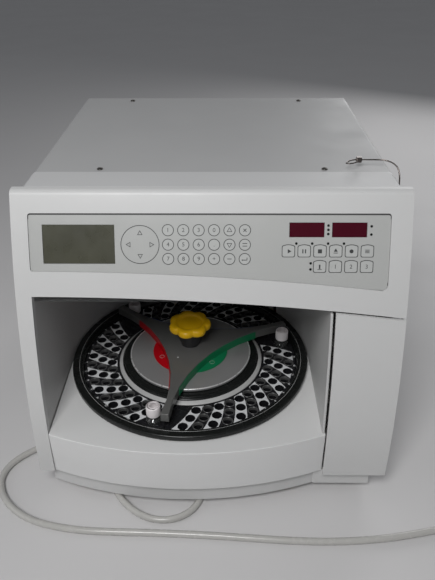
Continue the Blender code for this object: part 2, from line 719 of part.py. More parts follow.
def make_panel():
    """The keypad overlay and the three display modules in its windows."""
    overlay = recess_slab("keypad_overlay", GAP, (OVERLAY_FRONT, OVERLAY_BACK))
    for x_range, s_range in ((LCD_X, LCD_S), (LEFT_LED_X, LED_S), (RIGHT_LED_X, LED_S)):
        cut(overlay, face_band("window", x_range, s_range, (-OVERRUN, BEZEL_DEPTH)))
    dress(overlay, OVERLAY_FINISH)
    depths = (MODULE_FRONT, MODULE_BACK)
    modules = (
        ("lcd_module", LCD_X, LCD_S, LCD_FINISH),
        ("led_display_left", LEFT_LED_X, LED_S, LED_FINISH),
        ("led_display_right", RIGHT_LED_X, LED_S, LED_FINISH),
    )
    for name, x_range, s_range, finish in modules:
        inner_x = (x_range[0] + GAP, x_range[1] - GAP)
        inner_s = (s_range[0] + GAP, s_range[1] - GAP)
        face_band(name, inner_x, inner_s, depths, finish)


def arc_front(radius, x_start, x_end):
    """Points of the bulging front edge in plan, from left to right."""
    centre_y = FRONT_Y - APRON_BULGE + APRON_RADIUS
    points = []
    for step in range(ARC_STEPS + 1):
        x = x_start + (x_end - x_start) * step / ARC_STEPS
        points.append((x, centre_y - math.sqrt(radius ** 2 - (x - CAROUSEL_X) ** 2)))
    return points


def make_deck():
    """The deck moulding with its curved apron, open below, on four posts."""
    outline = arc_front(APRON_RADIUS, DECK_LEFT, DECK_RIGHT) + [(DECK_RIGHT, BAY_BACK), (DECK_LEFT, BAY_BACK)]
    deck = prism("sample_deck", outline, BEZEL_LOW + GAP, DECK_TOP)
    inner_left = DECK_LEFT + SHEET
    inner_right = DECK_RIGHT - SHEET
    inside = arc_front(APRON_RADIUS - SHEET, inner_left, inner_right)
    inside += [(inner_right, BAY_BACK - SHEET), (inner_left, BAY_BACK - SHEET)]
    cut(deck, prism("inside", inside, BEZEL_LOW - OVERRUN, DECK_TOP - SHEET))
    posts_x = (DECK_LEFT + SHEET + DECK_POST, DECK_RIGHT - SHEET - DECK_POST)
    posts_y = (FOOT_FRONT_Y, BAY_BACK - SHEET - DECK_POST)
    post_z = (tray_floor() + GAP, DECK_TOP - SHEET / 2)
    for x in posts_x:
        for y in posts_y:
            add(deck, block("post", span(x, DECK_POST), span(y, DECK_POST), post_z))
    bowl_hole = BOWL_RADIUS + BOWL_CLEARANCE
    port_hole = PORT_RADIUS + GAP
    above = DECK_TOP + OVERRUN
    cut(deck, cylinder("bowl_hole", bowl_hole, BEZEL_LOW, above, (CAROUSEL_X, CAROUSEL_Y)))
    cut(deck, cylinder("port_hole", port_hole, BEZEL_LOW, above, (NEEDLE_X, PORT_Y), None, SMALL_STEPS))
    return dress(deck, HOUSING_FINISH)


def tray_floor():
    """The height of the top of the base tray's floor."""
    return FOOT_HEIGHT + SHEET


def make_tray():
    """The recessed base tray that everything stands on."""
    def outline(inset):
        points = arc_front(APRON_RADIUS - TRAY_SETBACK - inset, TRAY_LEFT + inset, TRAY_STEP_X)
        points += [(TRAY_STEP_X + OVERRUN, TRAY_STEP_Y + inset), (TRAY_RIGHT - inset, TRAY_STEP_Y + inset)]
        return points + [(TRAY_RIGHT - inset, TRAY_REAR - inset), (TRAY_LEFT + inset, TRAY_REAR - inset)]
    tray = prism("base_tray", outline(0), FOOT_HEIGHT, BEZEL_LOW)
    cut(tray, prism("inside", outline(SHEET), tray_floor(), BEZEL_LOW + OVERRUN))
    elbow_y = FRONT_Y + ELBOW_OFFSET
    outer = BARB_RADIUS + CAP_WALL
    elbow = cylinder("elbow", outer, GAP, FOOT_HEIGHT + SHEET / 2, (ELBOW_X, elbow_y), None, SMALL_STEPS)
    middle = (ELBOW_X, hose_low())
    barb = cylinder("barb", BARB_RADIUS - GAP, barb_front(), elbow_y, middle, None, SMALL_STEPS, "Y")
    add(tray, add(elbow, barb))
    return dress(tray, TRAY_FINISH)


def hose_low():
    """The height of the hose's middle line where it lies on the table."""
    return HOSE_RADIUS + GAP


def barb_front():
    """The y of the drain barb's front end."""
    return FRONT_Y + ELBOW_OFFSET - 3 * BARB_RADIUS


def make_feet():
    """Four soft feet under the tray."""
    names = ("foot_front_left", "foot_front_right", "foot_rear_left", "foot_rear_right")
    for name, (x, y) in zip(names, FOOT_PLACES):
        profile = [(0, 0), (FOOT_RADIUS - OVERRUN, 0), (FOOT_RADIUS, FOOT_HEIGHT / 2),
                   (FOOT_RADIUS, FOOT_HEIGHT - GAP), (0, FOOT_HEIGHT - GAP)]
        turned(name, profile, (x, y, 0), FOOT_FINISH, SMALL_STEPS)


def in_front_of(depth, x_range, s_low=0.0):
    """Everything in front of a depth in the face, for trimming a piece to meet the bezel."""
    low = s_low - (OVERRUN if s_low == 0 else 0)
    outline = face_line(low, FACE_LENGTH + BEZEL_DEPTH, depth)
    front = FRONT_Y - APRON_RADIUS
    outline += [(front, outline[-1][1]), (front, outline[0][1])]
    return prism("in_front", list(reversed(outline)), x_range[0], x_range[1], "X")


def around_body():
    """Limits in x that take in the whole body."""
    return -BEZEL_WIDTH, BEZEL_WIDTH


def make_liner():
    """The compartment's walls: flat sides, a round back and a ceiling, open below and in front."""
    low = DECK_TOP + GAP
    front = FRONT_Y - SHEET

    def outline(radius):
        points = arc_points((CAROUSEL_X, CAROUSEL_Y), radius, 0, 180, ARC_STEPS)
        return points + [(CAROUSEL_X - radius, front), (CAROUSEL_X + radius, front)]
    liner = prism("compartment_liner", outline(LINER_RADIUS + SHEET), low, LINER_CEILING + SHEET)
    cut(liner, prism("inside", outline(LINER_RADIUS), low - OVERRUN, LINER_CEILING))
    window = block("window", (BAY_LEFT, BAY_RIGHT), (CAROUSEL_Y, BAY_BACK), (low - OVERRUN, BAY_TOP))
    cut(liner, window)
    behind_bezel = BEZEL_DEPTH + GAP
    wall_left = CAROUSEL_X + LINER_RADIUS - SHEET
    cut(liner, in_front_of(BEZEL_RIM, around_body()))
    cut(liner, in_front_of(behind_bezel, (-BEZEL_WIDTH, wall_left)))
    cut(liner, in_front_of(behind_bezel, around_body(), opening_edge(wall_left) - SHEET))
    top = LINER_CEILING + SHEET
    for x in span(BOARD_X, BOARD_SIZE[0] - 2 * BOARD_POST):
        for y in span(BOARD_Y, BOARD_SIZE[1] - 2 * BOARD_POST):
            post_z = (top - SHEET / 2, top + BOARD_POST)
            add(liner, block("post", span(x, BOARD_POST), span(y, BOARD_POST), post_z))
    return dress(liner, LINER_FINISH)


def make_needle_bay():
    """The dark box behind the round wall that the needle unit parks in."""
    low = DECK_TOP + GAP
    left = BAY_LEFT + GAP
    right = BAY_RIGHT - GAP
    middle = CAROUSEL_Y + LINER_RADIUS / 2
    bay = block("needle_bay", (left, right), (middle, BAY_BACK), (low, BAY_TOP - GAP))
    inner_y = (CAROUSEL_Y, BAY_BACK - BAY_WALL)
    inner_z = (low - OVERRUN, BAY_TOP - GAP - BAY_WALL)
    cut(bay, block("inside", (left + BAY_WALL, right - BAY_WALL), inner_y, inner_z))
    cut(bay, cylinder("compartment", LINER_RADIUS, low - OVERRUN, BAY_TOP, (CAROUSEL_X, CAROUSEL_Y)))
    return dress(bay, BAY_FINISH)


def hoop_outline(half_width, top, foot_left, foot_right):
    """An upside-down U in front view, with its feet turned in."""
    low = BEZEL_LOW + GAP
    inner = half_width - SHEET
    inner_corner = BODY_CORNER - SHEET
    outer = [(half_width, low)]
    outer += arc_points((half_width - BODY_CORNER, top - BODY_CORNER), BODY_CORNER, 0, 90, CORNER_STEPS)
    outer += arc_points((-half_width + BODY_CORNER, top - BODY_CORNER), BODY_CORNER, 90, 180, CORNER_STEPS)
    outer += [(-half_width, low), (foot_left, low), (foot_left, low + SHEET), (-inner, low + SHEET)]
    corner_z = top - BODY_CORNER
    outer += arc_points((-inner + inner_corner, corner_z), inner_corner, 180, 90, CORNER_STEPS)
    outer += arc_points((inner - inner_corner, corner_z), inner_corner, 90, 0, CORNER_STEPS)
    outer += [(inner, low + SHEET), (foot_right, low + SHEET), (foot_right, low)]
    return outer


def make_shells():
    """The front frame behind the bezel, the top cover and the rear panel."""
    foot_left = TRAY_LEFT + SHEET
    foot_right = TRAY_RIGHT - SHEET
    seam = FRONT_Y + FRAME_REAR
    outline = hoop_outline(BODY_HALF_WIDTH, BODY_TOP, foot_left, foot_right)
    frame = prism("front_frame", outline, FRONT_Y, seam, "Y")
    cut(frame, in_front_of(BEZEL_DEPTH + GAP, around_body()))
    setback = block("setback", (DECK_RIGHT, BEZEL_WIDTH), (FRONT_Y - OVERRUN, FRAME_SETBACK_Y),
                    (FOOT_HEIGHT, face_height(opening_edge(BODY_HALF_WIDTH))))
    cut(frame, setback)
    capillary_hole(add_hinge_tabs(frame))
    dress(frame, HOUSING_FINISH)
    half = BODY_HALF_WIDTH - COVER_INSET
    outline = hoop_outline(half, BODY_TOP - COVER_INSET, foot_left, foot_right)
    cover = prism("top_cover", outline, seam + GAP, FRONT_Y + COVER_REAR, "Y")
    for x in (-SCREW_X, SCREW_X):
        for y in (SCREW_FRONT_Y, SCREW_REAR_Y):
            hole_z = (BODY_TOP - BODY_CORNER, BODY_TOP + OVERRUN)
            cut(cover, cylinder("hole", SCREW_SHANK + GAP, hole_z[0], hole_z[1], (x, y), None, SMALL_STEPS))
    dress(cover, COVER_FINISH)
    make_rear_panel(half)


def rear_face():
    """The y of the rear panel's outer face."""
    return FRONT_Y + COVER_REAR - GAP


def make_rear_panel(half):
    """The rear panel with its vent slots and the holes for the power entry."""
    inside = half - SHEET - GAP
    bottom = BEZEL_LOW + SHEET + 2 * GAP
    top = BODY_TOP - COVER_INSET - SHEET - GAP
    outline = rounded_rectangle((-inside, inside), (bottom, top), BODY_CORNER - SHEET)
    panel = prism("rear_panel", outline, rear_face() - SHEET, rear_face(), "Y")
    through = (rear_face() - SHEET - OVERRUN, rear_face() + OVERRUN)
    for x, (width, height) in ((INLET_X, INLET_BODY), (SWITCH_X, SWITCH_BODY)):
        cut(panel, block("hole", span(x, width + 2 * GAP), through, span(INLET_Z, height + 2 * GAP)))
    pitch = 2 * VENT_RADIUS / VENT_SLOTS
    for index in range(VENT_SLOTS):
        offset = (index - (VENT_SLOTS - 1) / 2) * pitch
        half_slot = math.sqrt(VENT_RADIUS ** 2 - offset ** 2) - pitch / 4
        slot = block("slot", span(VENT_X, 2 * half_slot), through, span(VENT_Z + offset, pitch * SLOT_SHARE))
        cut(panel, slot)
    return dress(panel, COVER_FINISH)


def carousel_turned(name, profile, finish, steps=None, closed=True):
    """A turned piece on the carousel's axis, heights from the deck."""
    return turned(name, profile, (CAROUSEL_X, CAROUSEL_Y, DECK_TOP), finish, steps, "Z", closed)


def make_carousel_tray():
    """The black tray: a rim over the deck, a bowl for the racks and a hollow hub."""
    bore = SPINDLE_RADIUS + GAP
    boss = SPINDLE_RADIUS + 2 * BOWL_WALL
    floor = -BOWL_DEPTH + BOWL_WALL
    step = RING_TOP - RING_THICKNESS - GAP
    rim_round = RIM_LOW
    hub_inner = HUB_RADIUS - SHEET
    bowl_wall = RING_OUTER - SHEET
    profile = [
        (bore, -BOWL_DEPTH), (boss, -BOWL_DEPTH), (boss, HUB_TOP - SHEET), (hub_inner, HUB_TOP - SHEET),
        (hub_inner, step - SHEET), (bowl_wall, step - SHEET), (bowl_wall, -BOWL_DEPTH),
        (BOWL_RADIUS, -BOWL_DEPTH), (BOWL_RADIUS, RIM_LOW), (RIM_RADIUS - rim_round, RIM_LOW),
        (RIM_RADIUS, RIM_LOW + rim_round), (RIM_RADIUS, RIM_TOP - rim_round),
        (RIM_RADIUS - rim_round, RIM_TOP),
        (RIM_INNER, RIM_TOP), (BOWL_INNER, BOWL_LIP), (BOWL_INNER, floor),
        (RING_OUTER, floor), (RING_OUTER, step), (HUB_RADIUS, step), (HUB_RADIUS, HUB_TOP - 2 * HUB_GROOVE),
        (HUB_RADIUS - HUB_GROOVE, HUB_TOP - HUB_GROOVE), (HUB_RADIUS - HUB_GROOVE, HUB_TOP), (bore, HUB_TOP),
    ]
    carousel_turned("carousel_tray", profile, RIM_FINISH, LARGE_STEPS)
    seat = step + GAP
    ring = [(RING_INNER, seat), (RING_OUTER, seat), (RING_OUTER, RING_TOP),
            (RING_INNER, RING_TOP + RING_RISE)]
    carousel_turned("reference_ring", ring, RING_FINISH, LARGE_STEPS)
    disc_low = HUB_TOP + GAP
    disc = [(bore, disc_low), (DISC_RADIUS - DISC_RIM, disc_low), (DISC_RADIUS, disc_low + DISC_RIM / 2),
            (DISC_RADIUS, DISC_TOP - DISC_RIM / 2), (DISC_RADIUS - DISC_RIM / 2, DISC_TOP), (bore, DISC_TOP)]
    carousel_turned("carousel_disc", disc, DISC_FINISH, LARGE_STEPS)


def around_axis(radius, angle):
    """The plan place at a radius and an angle about the carousel's axis."""
    turn = math.radians(angle)
    return CAROUSEL_X + radius * math.cos(turn), CAROUSEL_Y + radius * math.sin(turn)


def rack_holes(start):
    """The plan places of one rack's holes, row by row, each row slanted a little."""
    places = []
    for row in range(ROW_COUNT):
        for ring, radius in enumerate(ROW_RADII):
            angle = start + row * ROW_PITCH + ring * ROW_SKEW
            places.append(around_axis(radius, angle))
    return places


def make_racks():
    """Three colour-coded rack sectors, each with its small holes and one large socket."""
    low = DECK_TOP - BOWL_DEPTH + BOWL_WALL + GAP
    top = DECK_TOP + RACK_TOP
    sector = 360 / RACK_COUNT
    for index, name in enumerate(RACK_NAMES):
        turn = index * sector
        start = RACK_START + turn
        trim = math.degrees(GAP / RACK_INNER)
        centre = (CAROUSEL_X, CAROUSEL_Y)
        outline = arc_points(centre, RACK_OUTER, start + trim, start + sector - trim, ARC_STEPS)
        outline += arc_points(centre, RACK_INNER, start + sector - trim, start + trim, ARC_STEPS)
        rack = prism(name, outline, low, top)
        floor = top - HOLE_DEPTH
        above = top + OVERRUN
        cutters = [cylinder("hole", HOLE_RADIUS, floor, above, place, None, HOLE_STEPS)
                   for place in rack_holes(ROW_START + turn)]
        socket = around_axis(VIAL_ORBIT, VIAL_ANGLE + sector + turn)
        cutters.append(cylinder("socket", VIAL_RADIUS + GAP, floor, above, socket, None, SMALL_STEPS))
        cut(rack, joined(cutters))
        dress(rack, RACK_FINISH)


def joined(things):
    """Several separate cutters as one object, so that one boolean applies them all."""
    mesh_data = bmesh.new()
    for thing in things:
        mesh_data.from_mesh(thing.data)
        bpy.data.objects.remove(thing, do_unlink=True)
    mesh = bpy.data.meshes.new("cutters")
    mesh_data.to_mesh(mesh)
    mesh_data.free()
    result = bpy.data.objects.new("cutters", mesh)
    bpy.context.collection.objects.link(result)
    return result


def star_edge():
    """Distance from the axis to the centre of each concave side's arc, and that arc's radius."""
    turn = math.pi / RACK_COUNT
    tip_x = ARM_REACH * math.cos(turn) + ARM_HALF_WIDTH * math.sin(turn)
    tip_y = ARM_REACH * math.sin(turn) - ARM_HALF_WIDTH * math.cos(turn)
    waist = ARM_WAIST_RADIUS
    distance = (tip_x ** 2 + tip_y ** 2 - waist ** 2) / (2 * (tip_x - waist))
    return distance, distance - waist


def star_side(index, inset=0.0):
    """Points along one concave side of the star, or along a line moved out from it by an inset."""
    distance, radius = star_edge()
    middle = math.radians(ARM_ANGLE + (index + HALF_SHARE) * 360 / RACK_COUNT)
    curve = radius - inset
    reach_squared = ARM_REACH ** 2 + ARM_HALF_WIDTH ** 2
    limit = math.acos((distance ** 2 + radius ** 2 - reach_squared) / (2 * distance * radius))
    points = []
    for step in range(STAR_STEPS + 1):
        turn = math.pi + limit * (1 - 2 * step / STAR_STEPS)
        x = distance + curve * math.cos(turn)
        y = curve * math.sin(turn)
        points.append((CAROUSEL_X + x * math.cos(middle) - y * math.sin(middle),
                       CAROUSEL_Y + x * math.sin(middle) + y * math.cos(middle)))
    return points


def within(points, reach):
    """The stretch of a line of points that lies within a reach of the carousel's axis."""
    centre = (CAROUSEL_X, CAROUSEL_Y)
    kept = []
    for first, second in zip(points, points[1:]):
        start = math.dist(first, centre) - reach
        end = math.dist(second, centre) - reach
        if start <= 0:
            kept.append(first)
        if start * end < 0:
            share = start / (start - end)
            kept.append(tuple(a + (b - a) * share for a, b in zip(first, second)))
    return kept


def make_star():
    """The three-armed cover over the racks, with its coloured inlays."""
    outline = []
    for index in range(RACK_COUNT):
        outline += star_side(index)
    low = DECK_TOP + STAR_LOW
    star = prism("star_cover", outline, low, DECK_TOP + STAR_TOP)
    cut(star, cylinder("bore", SPINDLE_RADIUS + GAP, DECK_TOP, DECK_TOP + STAR_TOP + OVERRUN,
                       (CAROUSEL_X, CAROUSEL_Y), None, SMALL_STEPS))
    dress(star, STAR_FINISH)
    for index, (name, finish) in enumerate(INLAY_FINISHES):
        strip = within(star_side(index, GAP), INLAY_STRIP_REACH)
        strip += list(reversed(within(star_side(index, GAP + INLAY_THICKNESS), INLAY_STRIP_REACH)))
        inlay = prism(name, strip, low, DECK_TOP + STAR_TOP - INLAY_THICKNESS)
        leaf = within(star_side(index, GAP), INLAY_LEAF_RADIUS)
        ends = (leaf[-1], leaf[0])
        start, end = (math.degrees(math.atan2(y - CAROUSEL_Y, x - CAROUSEL_X)) for x, y in ends)
        end -= 360 if end > start else 0
        leaf += arc_points((CAROUSEL_X, CAROUSEL_Y), INLAY_LEAF_RADIUS, start, end, STAR_STEPS)[1:-1]
        add(inlay, prism("leaf", leaf, low, low + INLAY_THICKNESS))
        dress(inlay, finish)


def lofted(name, rings, finish):
    """A closed shape through stacked rings of equal counts, capped at both ends."""
    mesh_data = bmesh.new()
    rows = [[mesh_data.verts.new(point) for point in ring] for ring in rings]
    count = len(rows[0])
    for first, second in zip(rows, rows[1:]):
        for index in range(count):
            after = (index + 1) % count
            mesh_data.faces.new((first[index], first[after], second[after], second[index]))
    mesh_data.faces.new(list(reversed(rows[0])))
    mesh_data.faces.new(rows[-1])
    return solid(name, mesh_data, finish)


def make_knob():
    """The spindle, the dark collar and the lobed lock knob."""
    star_top = DECK_TOP + STAR_TOP
    spindle_top = star_top + COLLAR_HEIGHT / 2
    cylinder("carousel_spindle", SPINDLE_RADIUS, tray_floor() + OVERRUN, spindle_top,
             (CAROUSEL_X, CAROUSEL_Y), STEEL_FINISH, SMALL_STEPS)
    bore = SPINDLE_RADIUS + GAP
    low = STAR_TOP + GAP
    high = STAR_TOP + COLLAR_HEIGHT
    bore_top = spindle_top - DECK_TOP + GAP
    collar = [(0, high), (COLLAR_RADIUS, high), (COLLAR_RADIUS, high - OVERRUN), (COLLAR_NECK, low + OVERRUN),
              (COLLAR_NECK, low), (bore, low), (bore, bore_top), (0, bore_top)]
    carousel_turned("knob_collar", collar, COLLAR_FINISH, HUB_STEPS, closed=False)
    knob_low = DECK_TOP + high + GAP
    levels = (
        (KNOB_RADIUS - KNOB_ROUND, 0, 1), (KNOB_RADIUS, KNOB_ROUND, 1),
        (KNOB_RADIUS, KNOB_HEIGHT - KNOB_ROUND, 1),
        (KNOB_RADIUS - KNOB_ROUND, KNOB_HEIGHT, 1), (KNOB_DISH_RADIUS, KNOB_HEIGHT, 0),
        (KNOB_DISH_RADIUS - KNOB_DISH_DEPTH, KNOB_HEIGHT - KNOB_DISH_DEPTH, 0),
    )
    rings = []
    count = KNOB_LOBES * KNOB_LOBE_POINTS
    for radius, height, lobed in levels:
        ring = []
        for step in range(count):
            angle = math.tau * step / count
            at = radius + lobed * KNOB_LOBE_DEPTH * math.cos(KNOB_LOBES * angle)
            x = CAROUSEL_X + at * math.cos(angle)
            y = CAROUSEL_Y + at * math.sin(angle)
            ring.append((x, y, knob_low + height))
        rings.append(ring)
    lofted("lock_knob", rings, KNOB_FINISH)


def make_vials():
    """Three large vials in their sockets, each with its screw cap."""
    wall = CAP_WALL
    bottom = RACK_TOP - HOLE_DEPTH + GAP
    for index in range(RACK_COUNT):
        x, y = around_axis(VIAL_ORBIT, VIAL_ANGLE + index * 360 / RACK_COUNT)
        glass = [
            (0, bottom), (VIAL_RADIUS, bottom), (VIAL_RADIUS, VIAL_SHOULDER),
            (VIAL_NECK, VIAL_SHOULDER + 2 * wall), (VIAL_NECK, VIAL_TOP), (VIAL_NECK - wall, VIAL_TOP),
            (VIAL_NECK - wall, VIAL_SHOULDER + wall), (VIAL_RADIUS - wall, VIAL_SHOULDER - wall),
            (VIAL_RADIUS - wall, bottom + wall), (0, bottom + wall),
        ]
        turned("vial_%d" % (index + 1), glass, (x, y, DECK_TOP), GLASS_FINISH, SMALL_STEPS)
        top = VIAL_CAP_LOW + VIAL_CAP_HEIGHT
        cap = [(0, top), (VIAL_CAP_RADIUS - wall / 2, top), (VIAL_CAP_RADIUS, top - wall / 2),
               (VIAL_CAP_RADIUS, VIAL_CAP_LOW), (VIAL_NECK + GAP, VIAL_CAP_LOW),
               (VIAL_NECK + GAP, VIAL_TOP + GAP),
               (0, VIAL_TOP + GAP)]
        turned("vial_cap_%d" % (index + 1), cap, (x, y, DECK_TOP), CAP_FINISH, SMALL_STEPS)


def spur_outline(teeth, phase, place):
    """A plain spur gear's outline, one tooth at the phase angle."""
    pitch_radius = teeth * GEAR_MODULE / 2
    root = pitch_radius - GEAR_ROOT_SHARE * GEAR_MODULE
    tip = pitch_radius + GEAR_TIP_SHARE * GEAR_MODULE
    pitch = math.tau / teeth
    points = []
    for tooth in range(teeth):
        middle = math.radians(phase) + tooth * pitch
        corners = ((root, -ROOT_HALF_SHARE), (tip, -TIP_HALF_SHARE),
                   (tip, TIP_HALF_SHARE), (root, ROOT_HALF_SHARE))
        for radius, share in corners:
            angle = middle + share * pitch
            points.append((place[0] + radius * math.cos(angle), place[1] + radius * math.sin(angle)))
    return points


def gear_low():
    """The height of the carousel gear's lower face, close under the tray's boss."""
    return DECK_TOP - BOWL_DEPTH - GAP - GEAR_WIDTH


def make_drive():
    """The gear under the tray, the motor with its pinion, and the spindle's bearing."""
    axis = (CAROUSEL_X, CAROUSEL_Y)
    low = gear_low()
    gear = prism("carousel_gear", spur_outline(GEAR_TEETH, MOTOR_ANGLE, axis), low, low + GEAR_WIDTH)
    bore = SPINDLE_RADIUS + GAP
    cut(gear, cylinder("bore", bore, low - OVERRUN, low + GEAR_WIDTH + OVERRUN, axis, None, SMALL_STEPS))
    dress(gear, GEAR_FINISH)
    place = pinion_place()
    phase = MOTOR_ANGLE + 180 + 180 / PINION_TEETH
    pinion = prism("motor_pinion", spur_outline(PINION_TEETH, phase, place), low, low + GEAR_WIDTH)
    motor_low = tray_floor() + GAP
    motor_top = motor_low + MOTOR_HEIGHT
    middle = low + GEAR_WIDTH / 2
    shaft = cylinder("shaft", SPINDLE_RADIUS / 2, motor_top + GAP, middle, place, None, SMALL_STEPS)
    dress(add(pinion, shaft), STEEL_FINISH)
    sides = [span(middle, MOTOR_SIDE) for middle in place]
    block("carousel_motor", sides[0], sides[1], (motor_low, motor_top), DARK_FINISH)
    neck = BEARING_RADIUS / 2
    bearing = [(bore, motor_low), (BEARING_RADIUS, motor_low), (BEARING_RADIUS, motor_low + SHEET),
               (neck, motor_low + SHEET), (neck, low - GAP), (bore, low - GAP)]
    turned("spindle_bearing", bearing, (*axis, 0), STEEL_FINISH, SMALL_STEPS, "Z", closed=True)


def pinion_place():
    """The plan place of the pinion's axis."""
    return around_axis((GEAR_TEETH + PINION_TEETH) * GEAR_MODULE / 2 + GAP, MOTOR_ANGLE)


def make_needle_unit():
    """The rail in the bay, the carriage, the slider with the needle, and the wash port below it."""
    rail_top = BAY_TOP - GAP - BAY_WALL - GAP
    rail_low = rail_top - RAIL_HEIGHT
    half = NEEDLE_BLOCK / 2
    carriage_x = (NEEDLE_X + half + GAP, NEEDLE_X + half + CARRIAGE_SIDE)
    middle = sum(carriage_x) / 2
    make_rail(middle, rail_low, rail_top)
    carriage_low = rail_low - GAP - CARRIAGE_HEIGHT
    make_carriage(carriage_x, middle, carriage_low, rail_low)
    slider_top = rail_low - GAP - OVERRUN
    slider_low = slider_top - 2 * NEEDLE_BLOCK
    slider_z = (slider_low, slider_top)
    needle = block("needle", span(NEEDLE_X, NEEDLE_BLOCK), span(PORT_Y, NEEDLE_BLOCK), slider_z)
    shank_top = slider_low + OVERRUN
    profile = [(0, NEEDLE_TIP), (NEEDLE_RADIUS, NEEDLE_TIP + 2 * NEEDLE_RADIUS), (NEEDLE_RADIUS, shank_top),
               (0, shank_top)]
    add(needle, turned("shank", profile, (NEEDLE_X, PORT_Y, 0), None, HOLE_STEPS))
    dress(needle, STEEL_FINISH)
    make_wash_port()


def make_rail(middle, low, top):
    """The rail under the bay's roof: a web and a lower flange that the carriage runs on."""
    half = RAIL_WIDTH / 2
    web = RAIL_WEB / 2
    step = low + RAIL_FLANGE
    outline = [(middle - half, low), (middle + half, low), (middle + half, step), (middle + web, step),
               (middle + web, top), (middle - web, top), (middle - web, step), (middle - half, step)]
    front = NEEDLE_REACH_Y - CARRIAGE_SIDE / 2
    prism("needle_rail", outline, front, BAY_BACK - BAY_WALL - GAP, "Y", STEEL_FINISH)


def make_carriage(x_range, middle, low, rail_low):
    """The carriage that hangs from the rail's flange by two lips."""
    half = RAIL_WIDTH / 2 + GAP
    web = RAIL_WEB / 2 + GAP
    left, right = x_range
    seat = rail_low - GAP
    step = rail_low + RAIL_FLANGE + GAP
    lip = step + CARRIAGE_LIP
    outline = [(left, low), (right, low), (right, lip), (middle + web, lip), (middle + web, step),
               (middle + half, step), (middle + half, seat), (middle - half, seat), (middle - half, step),
               (middle - web, step), (middle - web, lip), (left, lip)]
    sides = span(PORT_Y, CARRIAGE_SIDE)
    prism("needle_carriage", outline, sides[0], sides[1], "Y", DARK_FINISH)


def make_wash_port():
    """The wash port in the deck, a cup under the parked needle."""
    flange = DECK_TOP + GAP
    wide = PORT_RADIUS + SHEET
    bottom = NEEDLE_TIP - NEEDLE_TRAVEL - PORT_FLOOR_GAP
    port = [(0, bottom - CAP_WALL), (PORT_RADIUS, bottom - CAP_WALL), (PORT_RADIUS, flange), (wide, flange),
            (wide, flange + SHEET), (PORT_RADIUS, flange + SHEET), (PORT_RADIUS, PORT_TOP),
            (PORT_BORE + CAP_WALL, PORT_TOP), (PORT_BORE, PORT_TOP - CAP_WALL), (PORT_BORE, bottom),
            (0, bottom)]
    turned("wash_port", port, (NEEDLE_X, PORT_Y, 0), PORT_FINISH, SMALL_STEPS)


def make_service_bay():
    """The bracket behind the door, with the injection valve and the syringe."""
    plate_back = BRACKET_FRONT + SHEET
    foot_front = BRACKET_FRONT - BRACKET_FOOT
    floor = tray_floor() + GAP
    outline = [(foot_front, floor), (plate_back, floor), (plate_back, BRACKET_TOP),
               (BRACKET_FRONT, BRACKET_TOP), (BRACKET_FRONT, floor + SHEET), (foot_front, floor + SHEET)]
    bracket = prism("service_bracket", outline, DOOR_LEFT + SHEET, TRAY_RIGHT - SHEET - GAP, "X")
    through = (BRACKET_FRONT - OVERRUN, plate_back + OVERRUN)
    place = (VALVE_X, VALVE_Z)
    hole = cylinder("shaft_hole", VALVE_SHAFT + GAP, through[0], through[1], place, None, SMALL_STEPS, "Y")
    cut(bracket, hole)
    front = syringe_y() - SYRINGE_RADIUS
    head_low = SYRINGE_Z + SYRINGE_LENGTH + GAP
    head = block("head", span(SYRINGE_X, 3 * SYRINGE_RADIUS), (front, BRACKET_FRONT + SHEET / 2),
                 (head_low, head_low + 2 * SYRINGE_RADIUS))
    dress(add(bracket, head), STEEL_FINISH)
    make_valve(BRACKET_FRONT - GAP, plate_back + GAP)
    make_syringe()


def make_valve(back, flange_front):
    """The injection valve: the body with its ports in front, and the rotor inside it on its drive shaft."""
    front = back - VALVE_LENGTH
    bore = VALVE_ROTOR_RADIUS + GAP
    rotor_front = back - VALVE_ROTOR_DEPTH - GAP
    cavity = rotor_front - GAP
    place = (VALVE_X, 0, VALVE_Z)
    cup = [(0, front), (VALVE_RADIUS, front), (VALVE_RADIUS, back), (bore, back), (bore, cavity), (0, cavity)]
    body = turned("valve_body", cup, place, None, HUB_STEPS, "Y")
    port_depth = (front - OVERRUN, front + VALVE_ROTOR_DEPTH)
    ports = []
    for index in range(VALVE_PORTS):
        angle = math.tau * index / VALVE_PORTS
        at = (VALVE_X + VALVE_ROTOR_RADIUS * math.cos(angle), VALVE_Z + VALVE_ROTOR_RADIUS * math.sin(angle))
        port = cylinder("port", VALVE_PORT_RADIUS, port_depth[0], port_depth[1], at, None, HOLE_STEPS, "Y")
        ports.append(port)
    cut(body, joined(ports))
    dress(body, STEEL_FINISH)
    rotor_back = rotor_front + VALVE_ROTOR_DEPTH
    flange_back = flange_front + SHEET
    profile = [(0, rotor_front), (VALVE_ROTOR_RADIUS, rotor_front), (VALVE_ROTOR_RADIUS, rotor_back),
               (VALVE_SHAFT, rotor_back), (VALVE_SHAFT, flange_front), (VALVE_FLANGE, flange_front),
               (VALVE_FLANGE, flange_back), (0, flange_back)]
    rotor = turned("valve_rotor", profile, place, None, HUB_STEPS, "Y")
    slot_y = (flange_front + SHEET / 2, flange_back + OVERRUN)
    cut(rotor, block("slot", span(VALVE_X, 2 * VALVE_FLANGE + OVERRUN), slot_y, span(VALVE_Z, SHEET)))
    dress(rotor, PORT_FINISH)


def syringe_y():
    """The y of the syringe's axis, just in front of its bracket."""
    return BRACKET_FRONT - 2 * SYRINGE_RADIUS


